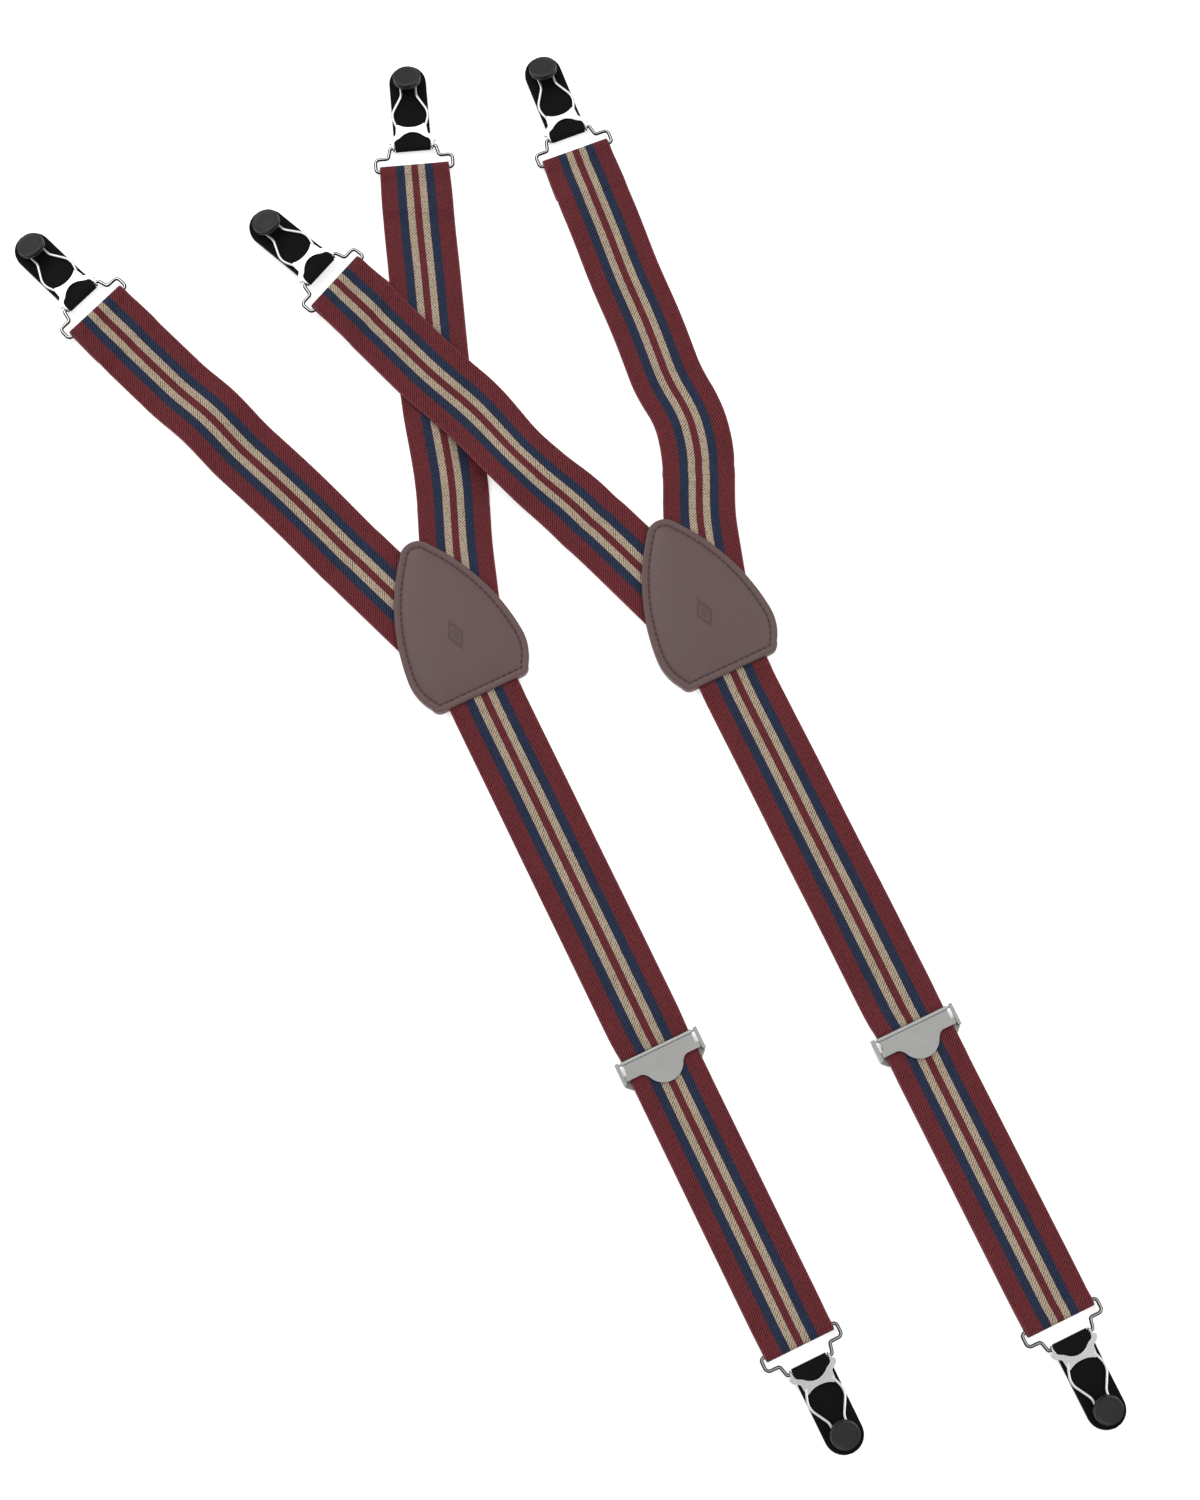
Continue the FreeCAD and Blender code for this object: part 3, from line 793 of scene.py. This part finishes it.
def twill_group():
    """Rows of short raised floats that run aslant over the webbing, with a mask of the gaps between them for
    painted shade.
    """
    tree, graph, given, result = new_group(
        "Twill Rows",
        [("Along", "NodeSocketFloat", 0.0), ("Across", "NodeSocketFloat", 0.0),
         ("Pitch", "NodeSocketFloat", 0.7), ("Float Length", "NodeSocketFloat", 1.1)],
        [("Height", "NodeSocketFloat"), ("Gap", "NodeSocketFloat")])
    slope, lean = math.sin(TWILL_LEAN), math.cos(TWILL_LEAN)
    along, across = given.outputs["Along"], given.outputs["Across"]
    rise = graph.math("MULTIPLY_ADD", along, slope, graph.math("MULTIPLY", across, lean))
    row = graph.math("DIVIDE", rise, given.outputs["Pitch"])
    ridge = graph.math("SINE", graph.math("MULTIPLY", graph.math("FRACT", row), math.pi))
    run = graph.math("MULTIPLY_ADD", across, slope, graph.math("MULTIPLY", along, -lean))
    shift = graph.math("MULTIPLY", graph.math("FLOOR", row), 0.38)
    yarn = graph.math("ADD", graph.math("DIVIDE", run, given.outputs["Float Length"]), shift)
    bead = graph.math("SINE", graph.math("MULTIPLY", graph.math("FRACT", yarn), math.pi))
    height = graph.math("MULTIPLY", ridge, graph.math("MULTIPLY_ADD", bead, 0.4, 0.6))
    graph.feed(result.inputs["Height"], height)
    graph.feed(result.inputs["Gap"], graph.spread(height, 0.84, 0.36))
    return tree


def new_material(name):
    """An empty material, its graph and its Principled shader."""
    material = bpy.data.materials.new(name)
    material.use_nodes = True
    graph = Graph(material.node_tree)
    shader = next(node for node in material.node_tree.nodes if node.type == "BSDF_PRINCIPLED")
    return material, graph, shader


def place_group(graph, group, **inputs):
    made = graph.node("ShaderNodeGroup", node_tree=group)
    for name, value in inputs.items():
        graph.feed(made.inputs[name.replace("_", " ")], value)
    return made.outputs


def unevenness(graph, fine, broad):
    group = bpy.data.node_groups.get(UNEVENNESS) or speckle_group()
    return place_group(graph, group, Fine_Size=fine * MM, Broad_Size=broad * MM)


def bump(graph, shader, height, distance, strength=1.0):
    made = graph.node("ShaderNodeBump", {"Height": height, "Strength": strength, "Distance": distance * MM})
    graph.feed(shader.inputs["Normal"], made.outputs[0])


def shine(graph, shader, noise, low, high):
    """Lets the roughness wander between two values."""
    graph.feed(shader.inputs["Roughness"], graph.wander(noise, low, high))


def rgba(colour, factor=1.0):
    return (*(channel * factor for channel in colour), 1.0)


STRIPES = ((0.0, "burgundy"), (0.232, "navy"), (0.352, "tan"), (0.452, "burgundy"), (0.548, "tan"),
           (0.648, "navy"), (0.768, "burgundy"))


def webbing_material(settings):
    """Striped elastic twill: woven stripes, slanting floats, painted shade in the gaps between them and a
    firmer edge.
    """
    material, graph, shader = new_material("striped_webbing")
    position = graph.node("ShaderNodeSeparateXYZ", {0: graph.node("ShaderNodeUVMap").outputs[0]})
    along, share = position.outputs[0], position.outputs[1]
    rough = unevenness(graph, 0.9, 14.0)
    fuzzy = graph.math("MULTIPLY_ADD", graph.math("SUBTRACT", rough["Fine"], 0.5), 0.006, share)
    ramp = graph.node("ShaderNodeValToRGB", {0: fuzzy})
    ramp.color_ramp.interpolation = "CONSTANT"
    for number, (start, colour) in enumerate(STRIPES):
        stops = ramp.color_ramp.elements
        stop = stops[number] if number < 2 else stops.new(start)
        stop.position = start
        stop.color = rgba(getattr(settings, colour))
    rim = graph.spread(graph.math("ABSOLUTE", graph.math("SUBTRACT", share, 0.5)), 0.478, 0.484)
    dyed = graph.mix(rim, ramp.outputs[0], rgba(settings.selvedge))
    across = graph.math("MULTIPLY", share, mm(settings.width))
    twill = place_group(graph, twill_group(), Along=along, Across=across, Pitch=mm(settings.rib_pitch))
    gap = graph.math("MULTIPLY", twill["Gap"], graph.spread(rough["Fine"], 0.38, 0.62, 0.35, 1.0))
    # painted shade: the gaps between the floats are darkened
    gap_shaded = graph.mix(gap, dyed, graph.mix(1.0, dyed, GAP_SHADE, "MULTIPLY"))
    slub = graph.wander(rough["Fine"], 0.86, 1.12)
    tone = graph.math("MULTIPLY", graph.wander(rough["Broad"], 0.93, 1.06), slub)
    final = graph.mix(1.0, gap_shaded, graph.node("ShaderNodeCombineXYZ", {0: tone, 1: tone, 2: tone}).outputs[0],
                      "MULTIPLY")
    graph.feed(shader.inputs["Base Color"], final)
    graph.feed(shader.inputs["Roughness"], graph.spread(twill["Height"], 0.0, 1.0, 0.92, 0.74))
    shader.inputs["Specular IOR Level"].default_value = 0.20
    shader.inputs["Sheen Weight"].default_value = 0.06
    shader.inputs["Sheen Roughness"].default_value = 0.45
    height = graph.math("MULTIPLY_ADD", rough["Fine"], 0.25, twill["Height"])
    bump(graph, shader, height, 0.16, 0.8)
    return material


def emblem_height(graph, position):
    """A plain lozenge inside a lozenge, pressed into the leather, in centimetres."""
    spot = graph.node("ShaderNodeSeparateXYZ", {0: position})
    along = graph.math("ABSOLUTE", graph.math("ADD", spot.outputs[0], 2.15))
    across = graph.math("ABSOLUTE", spot.outputs[1])
    reach = graph.math("ADD", graph.math("DIVIDE", along, 0.52), graph.math("DIVIDE", across, 0.26))
    outer = graph.math("SUBTRACT", graph.spread(reach, 1.10, 0.98), graph.spread(reach, 0.80, 0.68))
    inner = graph.spread(reach, 0.46, 0.34)
    return graph.math("ADD", outer, inner)


def leather_material(settings, name, with_emblem):
    """Smooth finished leather with a faint pebble, uneven dye, a satin face and, with the emblem, painted
    shade in its pressed lines.
    """
    material, graph, shader = new_material(name)
    rough = unevenness(graph, 0.55, 16.0)
    spot = graph.node("ShaderNodeTexCoord").outputs["Object"]
    pores = graph.node("ShaderNodeTexVoronoi", {"Vector": spot, "Scale": 1 / (0.55 * MM)},
                       feature="DISTANCE_TO_EDGE")
    creases = graph.spread(pores.outputs[0], 0.0, 0.16)
    base = graph.mix(graph.spread(rough["Broad"], 0.35, 0.65), rgba(settings.leather),
                     rgba((settings.leather[0] * 1.08, settings.leather[1] * 0.96, settings.leather[2])))
    grain_and_emblem_shade = graph.mix(graph.spread(creases, 0.0, 1.0, 0.10, 0.0), base, (0.03, 0.018, 0.016, 1.0))
    height = graph.math("MULTIPLY_ADD", rough["Fine"], 0.5, graph.math("MULTIPLY", creases, 0.35))
    if with_emblem:
        pressed = emblem_height(graph, graph.node("ShaderNodeUVMap").outputs[0])
        height = graph.math("MULTIPLY_ADD", pressed, -7.0, height)
        # painted shade: the pressed lines of the emblem are darkened
        grain_and_emblem_shade = graph.mix(graph.math("MULTIPLY", pressed, 0.45), grain_and_emblem_shade, (0.05, 0.03, 0.028, 1.0))
    graph.feed(shader.inputs["Base Color"], grain_and_emblem_shade)
    shine(graph, shader, rough["Fine"], 0.42, 0.52)
    shader.inputs["Specular IOR Level"].default_value = 0.42
    bump(graph, shader, height, 0.05, 0.7)
    return material


def thread_material(settings):
    """Twisted sewing thread."""
    material, graph, shader = new_material("sewing_thread")
    rough = unevenness(graph, 0.18, 6.0)
    graph.feed(shader.inputs["Base Color"],
               graph.mix(graph.spread(rough["Fine"], 0.35, 0.65), rgba(settings.thread, 0.7),
                         rgba(settings.thread, 1.25)))
    shine(graph, shader, rough["Broad"], 0.6, 0.75)
    bump(graph, shader, rough["Fine"], 0.08)
    return material


def nickel_material(name, colour, polish, grain, flank_shade=None):
    """Plated steel: an even finish with a little grain, fine rubs, cloudy patches and, where a flank range
    is given, painted shade on the flanks.
    """
    material, graph, shader = new_material(name)
    rough = unevenness(graph, 0.12, 7.0)
    shader.inputs["Metallic"].default_value = 1.0
    plating_and_flank_shade = graph.mix(graph.spread(rough["Broad"], 0.35, 0.7), rgba(colour), rgba(colour, 0.92))
    if flank_shade:
        crown = graph.node("ShaderNodeAttribute", attribute_name="crown").outputs["Fac"]
        # painted shade: the plating darkens to nearly black where the surface turns away from straight up
        plating_and_flank_shade = graph.mix(graph.spread(crown, *flank_shade), plating_and_flank_shade, rgba(colour, 0.03))
    graph.feed(shader.inputs["Base Color"], plating_and_flank_shade)
    spot = graph.node("ShaderNodeMapping", {0: graph.node("ShaderNodeTexCoord").outputs["Object"],
                                            "Rotation": (0.0, 0.0, 0.45), "Scale": (1.0, 14.0, 6.0)})
    rubs = graph.node("ShaderNodeTexNoise", {"Vector": spot.outputs[0], "Scale": 260.0, "Detail": 4.0})
    rubbed = graph.spread(rubs.outputs[0], 0.55, 0.75, 0.0, 0.05)
    graph.feed(shader.inputs["Roughness"],
               graph.math("ADD", graph.wander(rough["Fine"], polish, polish + grain), rubbed))
    bump(graph, shader, graph.math("MULTIPLY_ADD", rubs.outputs[0], 0.4, rough["Fine"]), 0.003, 0.4)
    return material


def moulded_material(name, colour, sizes, clouds, paler, polish, specular, relief):
    """Black rubber or plastic: even, with paler clouds and a faintly uneven skin."""
    material, graph, shader = new_material(name)
    rough = unevenness(graph, *sizes)
    graph.feed(shader.inputs["Base Color"],
               graph.mix(graph.spread(rough["Broad"], *clouds), rgba(colour), rgba(colour, paler)))
    shine(graph, shader, rough["Fine"], *polish)
    shader.inputs["Specular IOR Level"].default_value = specular
    bump(graph, shader, rough["Fine"], *relief)
    return material


# ---- operators


class STAYS_OT_webbing(bpy.types.Operator):
    """Lay the striped elastic: the main straps, the sock straps and the four branches"""
    bl_idname = "stays.webbing"
    bl_label = "Lay Webbing"

    def execute(self, context):
        settings = context.scene.stays_webbing
        finish = webbing_material(settings)
        for leg in LEGS:
            lay_main_strap(settings, leg, finish)
            lay_sock_strap(settings, leg, finish)
            for end in SHIRT_ENDS:
                lay_branch(settings, leg, end, finish)
        return {"FINISHED"}


class STAYS_OT_patches(bpy.types.Operator):
    """Cut, pad and sew the leather patches"""
    bl_idname = "stays.patches"
    bl_label = "Sew Patches"

    def execute(self, context):
        settings = context.scene.stays_patch
        outline = patch_outline(mm(settings.length))
        cover = self.cover(settings, outline)
        lining = round_edges(cut_sheet(outline, 0.0, 1.22), 0.22, 2, 60)
        stitches = self.stitches(settings, outline)
        face = leather_material(settings, "smooth_leather", True)
        back = leather_material(settings, "lining_leather", False)
        thread = thread_material(settings)
        for leg in LEGS:
            place = patch_place(leg)
            for part, finish, slot, node in ((cover, face, "leather", "patch_cover"),
                                             (lining, back, "leather", "patch_lining"),
                                             (stitches, thread, "thread", "patch_thread")):
                set_out(part, place, f"{leg}_{node}_piece", finish, f"{leg}_{node}", f"{leg}_stay", 50)
        discard(cover, lining, stitches)
        return {"FINISHED"}

    def cover(self, settings, outline):
        """The face leather: a skirt down to the lining, a flat margin, a sewn groove and a soft middle."""
        bottom, skirt = 1.24, 2.42
        cover = cut_sheet(outline, bottom, skirt)
        top = bottom + skirt
        with editing(cover, lambda face: face.normal.z > 0.9 and face.calc_center_median().z > top - 0.01):
            # inward and up: the worked edge, the margin, the sewn groove and the slope behind it
            for thickness, depth in ((0.10, 0.14), (0.20, 0.12), (0.40, 0.06), (1.15, 0.0), (0.22, -0.16),
                                     (0.20, -0.04), (0.20, 0.10), (0.24, 0.22)):
                bpy.ops.mesh.inset(thickness=thickness, depth=depth)
            puff = mm(settings.puff)
            size, height = 1.0, 0.0
            for aim in (0.975, 0.95, 0.92, 0.89, 0.85, 0.80, 0.74, 0.66, 0.56, 0.44, 0.30, 0.14):
                rise = puff * (0.6 * (1 - aim ** 8) + 0.4 * (1 - aim ** 2)) - height
                bpy.ops.mesh.extrude_region_move(TRANSFORM_OT_translate={"value": (0, 0, rise)})
                share = aim / size
                bpy.ops.transform.resize(value=(share, share, 1), center_override=(-22.0, 0, 0))
                size, height = aim, height + rise
        cover.data.uv_layers.new(name="UVMap")
        for loop, corner in zip(cover.data.loops, cover.data.uv_layers.active.data):
            spot = cover.data.vertices[loop.vertex_index].co
            corner.uv = (spot.x / 10, spot.y / 10)
        return cover

    def stitches(self, settings, outline):
        spots = inset_outline(outline, mm(settings.margin), mm(settings.stitch_pitch))
        parts = []
        for spot, way in spots:
            stitch = fresh(bpy.ops.mesh.primitive_uv_sphere_add, segments=8, ring_count=6, radius=1)
            turn = Matrix.Rotation(math.atan2(way.y, way.x), 4, "Z")
            shape = Matrix.Diagonal((mm(settings.stitch_pitch) * 0.42, 0.20, 0.17, 1))
            stitch.data.transform(Matrix.Translation((spot.x, spot.y, STITCH_LEVEL)) @ turn @ shape)
            parts.append(stitch)
        return joined(*parts)


class STAYS_OT_adjusters(bpy.types.Operator):
    """Stamp the adjusters: a channel frame and a clamping lever with a rolled edge"""
    bl_idname = "stays.adjusters"
    bl_label = "Stamp Adjusters"

    def execute(self, context):
        settings = context.scene.stays_metal
        satin = nickel_material("satin_nickel", settings.satin, 0.40, 0.06)
        channel = self.channel()
        lever = self.lever()
        for leg in LEGS:
            place = lever_place(leg)
            set_out(channel, place, f"{leg}_adjuster_channel", satin, f"{leg}_adjuster_frame",
                    f"{leg}_adjuster", flat=True)
            set_out(lever, place, f"{leg}_adjuster_plate", satin, f"{leg}_adjuster_lever",
                    f"{leg}_lever", flat=True)
        discard(channel, lever)
        return {"FINISHED"}

    def channel(self):
        """Floor plate, two side walls and the flat ears on top of them, about the lever's axis."""
        axis = 3.5
        half = [(3.8, 14.4), (6.7, 14.4), (7.2, 14.1), (8.8, 12.4), (8.9, 11.6)]
        floor = cut_sheet(mirrored(half), -axis, 0.55)
        wall = [(-0.85, -axis + 1.4), (-0.85, 0.3), (6.4, 0.3), (6.8, -axis + 1.0), (6.4, -axis),
                (3.1, -axis), (2.2, -axis + 0.6)]
        walls = [stand_up(cut_sheet(wall, 0.0, 0.7), start) for start in (13.85, -14.55)]
        ear = [(-0.85, 13.38), (6.2, 13.38), (6.75, 13.9), (6.75, 14.6), (-0.85, 14.6)]
        ears = [cut_sheet(ear, 0.2, 0.45), cut_sheet([(x, -y) for x, y in ear], 0.2, 0.45)]
        return round_edges(joined(floor, *walls, *ears), 0.10, 3)

    def lever(self):
        """Clamping plate with wings, a round tongue, a rolled edge, trunnions and a row of teeth."""
        side = [(0.68, 12.15), (3.75, 12.15), (3.75, 13.22), (5.5, 13.22), (5.75, 12.95), (5.75, 8.3),
                (5.95, 7.6), (6.4, 6.95), (6.95, 6.45)]
        tongue = [(5.1 + 6.5 * math.cos(angle), 6.5 * math.sin(angle))
                  for angle in (math.radians(68 - step * 4) for step in range(35))]
        plate = cut_sheet(side + tongue + flipped(side), -0.02, 0.68)
        round_edges(plate, 0.10, 3)
        roll = rod(0.0, 0.10, 0.72, 12.5)
        pins = rod(0.0, 0.0, 0.40, 14.45, 20)
        teeth = [settled(bpy.ops.mesh.primitive_cone_add, vertices=4, radius1=0.5, depth=0.5,
                         location=(1.9, number * 1.25, -0.25), rotation=(math.pi, 0, math.pi / 4))
                 for number in range(-9, 10)]
        return joined(plate, roll, pins, *teeth)


class STAYS_OT_hangers(bpy.types.Operator):
    """Bend the wire hangers between the webbing and the clips"""
    bl_idname = "stays.hangers"
    bl_label = "Bend Hangers"

    def execute(self, context):
        settings = context.scene.stays_metal
        reach = hanger_reach(LEGS[0], ENDS[0])
        half = [(0.0, 13.3), (4.7, 13.3), (4.7, 8.8), (reach, 7.9)]
        bends = [1.25, 1.45, 1.0, 0.9]
        path = rounded([(x, y, 0) for x, y in mirrored(half)], bends + bends[::-1], closed=True)
        master = mark_crown(bent_wire(path, mm(settings.wire_radius), closed=True))
        # the last pair sets where painted shade darkens the wire's flanks
        finish = nickel_material("bright_nickel", settings.bright, 0.16, 0.03, (0.998, 0.90))
        for leg in LEGS:
            for end in ENDS:
                set_out(master, bar_place(leg, end, "wide"), f"{leg}_{end}_wire_hanger", finish,
                        f"{leg}_{end}_hanger", f"{leg}_{end}_hanger")
        discard(master)
        return {"FINISHED"}


class STAYS_OT_clips(bpy.types.Operator):
    """Make the garter clips: rubber tab, stud, rivet and keyhole loop"""
    bl_idname = "stays.clips"
    bl_label = "Make Clips"

    def execute(self, context):
        settings = context.scene.stays_clip
        metal = context.scene.stays_metal
        rubber = moulded_material("black_rubber", settings.rubber, (0.25, 8.0), (0.45, 0.8, 0.0, 0.5), 1.9,
                                  (0.56, 0.68), 0.06, (0.02, 0.6))
        button = moulded_material("black_button", settings.button, (0.5, 5.0), (0.35, 0.7), 1.35,
                                  (0.30, 0.40), 0.30, (0.012, 0.5))
        # the last pair sets where painted shade darkens the flanks of the loop and the rivet
        stamped = nickel_material("stamped_nickel", metal.bright, 0.28, 0.04, (0.70, 0.30))
        parts = (("tab", self.tab(settings), rubber, "rubber", "clip"),
                 ("stud", self.stud(settings), button, "button", "clip"),
                 ("rivet", self.rivet(settings), stamped, "steel", "clip"),
                 ("loop", self.loop(), stamped, "wire", "loop"))
        for leg in LEGS:
            for end in ENDS:
                place = bar_place(leg, end, "narrow")
                for name, master, finish, slot, body in parts:
                    set_out(master, place, f"{leg}_{end}_{name}_piece", finish,
                            f"{leg}_{end}_{name}", f"{leg}_{end}_{body}", flat=name in ("loop", "tab"))
        discard(*(master for _, master, *_ in parts))
        return {"FINISHED"}

    def tab(self, settings):
        route, fold_at = tab_route(settings)
        return band(route, tab_half_width(settings, route, fold_at), mm(settings.tab_layer), 12, 0.26)

    def stud(self, settings):
        """A stem, a stepped collar and a shallow dished head that leans towards the tip."""
        reach = mm(settings.stud_reach)
        radius = mm(settings.stud_radius)
        stem = lathe([(1.9, -1.05), (1.9, 3.7), (0.0, 3.9)])
        profile = [(0.0, -0.5), (0.70, -0.5), (0.93, -0.42), (0.99, -0.25), (1.0, 0.0), (1.0, 0.5),
                   (0.97, 0.68), (0.90, 0.74), (0.885, 0.84), (0.90, 0.95), (0.965, 1.02), (0.985, 1.2),
                   (0.985, 1.66), (0.97, 1.86), (0.93, 1.98), (0.90, 2.0), (0.87, 1.94), (0.83, 1.84),
                   (0.74, 1.78), (0.5, 1.84), (0.0, 1.88)]
        head = lathe([(share * radius, height * 0.85) for share, height in profile], 56)
        head.data.transform(Matrix.Translation((0, 0, STUD_HEAD_LEVEL)) @ Matrix.Rotation(STUD_LEAN, 4, "Y"))
        both = joined(stem, head)
        both.data.transform(Matrix.Translation((reach, 0, 0)))
        return both

    def rivet(self, settings):
        cap = lathe([(0.0, -1.68), (2.0, -1.66), (2.9, -1.52), (3.3, -1.3), (3.4, -1.12), (3.2, -1.04),
                     (0.0, -1.03)])
        cap.data.transform(Matrix.Translation((mm(settings.stud_reach), 0, 0)))
        return mark_crown(cap)

    def loop(self):
        """Stamped plate with two lobes that curl round the bar, and the keyhole wire."""
        outer = [(-0.6, 6.6), (-0.6, 7.05), (0.9, 7.1), (1.2, 8.0), (2.1, 8.15), (3.1, 7.5), (3.8, 6.3),
                 (4.3, 5.5), (5.5, 5.45), (7.7, 5.2), (8.1, 4.5), (7.5, 3.7), (6.9, 1.9), (6.75, 0.0)]
        inner = [(4.95, 0.0), (4.7, 1.6), (3.9, 3.2), (2.9, 4.3), (2.4, 5.4), (1.9, 6.1), (0.6, 6.4)]
        edge = inner + outer + flipped(outer[:-1]) + flipped(inner[1:])
        plate = round_edges(cut_sheet(softened(edge), LOOP_LEVEL - 0.35, 0.7), 0.2, 3)
        half = [(5.9, 4.5), (11.7, 6.55), (18.6, 2.55), (26.4, 2.55)]
        path = rounded([(x, y, LOOP_LEVEL) for x, y in mirrored(half)], [5.2, 4.5, 2.5, 2.5, 4.5, 5.2])
        wire = bent_wire(path, 0.46, flat=0.9)
        rings = [settled(bpy.ops.mesh.primitive_torus_add, location=(0, side, 0),
                         rotation=(math.pi / 2, 0, 0), major_radius=1.0, minor_radius=0.28,
                         major_segments=28, minor_segments=10) for side in (6.62, -6.62)]
        return mark_crown(joined(plate, wire, *rings))


class STAYS_OT_stage(bpy.types.Operator):
    """Set up the pale floor, the soft light and the camera"""
    bl_idname = "stays.stage"
    bl_label = "Set Stage"

    def execute(self, context):
        settings = context.scene.stays_stage
        self.floor(settings)
        self.lights()
        self.camera(context, settings)
        context.scene.view_settings.view_transform = "Standard"
        return {"FINISHED"}

    def floor(self, settings):
        floor = fresh(bpy.ops.mesh.primitive_plane_add, size=settings.floor_size)
        floor.name = "floor"
        material, _, shader = new_material("pale_floor")
        shader.inputs["Base Color"].default_value = rgba(settings.floor)
        shader.inputs["Roughness"].default_value = 0.9
        shader.inputs["Specular IOR Level"].default_value = 0.1
        shader.inputs["Emission Color"].default_value = (1.0, 1.0, 1.0, 1.0)
        shader.inputs["Emission Strength"].default_value = 0.45
        floor.data.materials.append(material)

    def lights(self):
        for name, place, size, power in (("key_light", (-0.7, 0.8, 1.3), 1.2, 9.0),
                                         ("fill_light", (1.1, -0.1, 1.1), 1.0, 5.0)):
            bpy.ops.object.light_add(type="AREA", location=place)
            light = bpy.context.object
            light.name = name
            light.data.size = size
            light.data.energy = power
            light.rotation_euler = (-Vector(place)).to_track_quat("-Z", "Y").to_euler()
        world = bpy.data.worlds.new("studio")
        bpy.context.scene.world = world
        world.use_nodes = True
        graph = Graph(world.node_tree)
        background = next(node for node in world.node_tree.nodes if node.type == "BACKGROUND")
        way = graph.node("ShaderNodeSeparateXYZ", {0: graph.node("ShaderNodeTexCoord").outputs["Generated"]})
        ramp = graph.node("ShaderNodeValToRGB", {0: way.outputs[2]})
        stops = ramp.color_ramp.elements
        for number, (height, grey) in enumerate(((0.0, 0.22), (0.30, 0.75), (0.60, 1.0), (0.88, 0.95),
                                                 (0.95, 0.62))):
            stop = stops[number] if number < 2 else stops.new(height)
            stop.position = height
            stop.color = (grey, grey, grey, 1.0)
        graph.feed(background.inputs[0], ramp.outputs[0])
        background.inputs[1].default_value = 1.0

    def camera(self, context, settings):
        target = Vector((settings.target_x, settings.target_y, 0))
        away = Vector((0, -math.sin(settings.tilt), math.cos(settings.tilt)))
        bpy.ops.object.camera_add(location=target + away * settings.distance,
                                  rotation=(settings.tilt, 0, 0))
        camera = bpy.context.object
        camera.name = "camera"
        camera.data.lens = settings.lens
        camera.data.sensor_fit = "VERTICAL"
        camera.data.sensor_height = 36.0
        camera.data.clip_start = 0.01
        context.scene.camera = camera


class STAYS_PT_panel(bpy.types.Panel):
    """The steps that make the stays, in order"""
    bl_idname = "STAYS_PT_panel"
    bl_label = "Shirt Stays"
    bl_space_type = "VIEW_3D"
    bl_region_type = "UI"
    bl_category = "Shirt Stays"

    def draw(self, context):
        for step in STEPS:
            self.layout.operator(step.bl_idname)
        for name in SETTINGS:
            group = getattr(context.scene, name)
            box = self.layout.box()
            for setting in group.bl_rna.properties:
                if setting.identifier not in {"rna_type", "name"}:
                    box.prop(group, setting.identifier)


SETTINGS = {"stays_webbing": WebbingSettings, "stays_patch": PatchSettings, "stays_metal": MetalSettings,
            "stays_clip": ClipSettings, "stays_stage": StageSettings}
STEPS = (STAYS_OT_stage, STAYS_OT_webbing, STAYS_OT_patches, STAYS_OT_adjusters, STAYS_OT_hangers,
         STAYS_OT_clips)


def register():
    for group in SETTINGS.values():
        bpy.utils.register_class(group)
    for step in (*STEPS, STAYS_PT_panel):
        bpy.utils.register_class(step)
    for name, group in SETTINGS.items():
        setattr(bpy.types.Scene, name, PointerProperty(type=group))


def unregister():
    for name in SETTINGS:
        delattr(bpy.types.Scene, name)
    for step in (STAYS_PT_panel, *reversed(STEPS)):
        bpy.utils.unregister_class(step)
    for group in reversed(SETTINGS.values()):
        bpy.utils.unregister_class(group)


def main():
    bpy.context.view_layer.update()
    register()
    bpy.ops.stays.stage()
    bpy.ops.stays.webbing()
    bpy.ops.stays.patches()
    bpy.ops.stays.adjusters()
    bpy.ops.stays.hangers()
    bpy.ops.stays.clips()


if __name__ == "__main__":
    main()
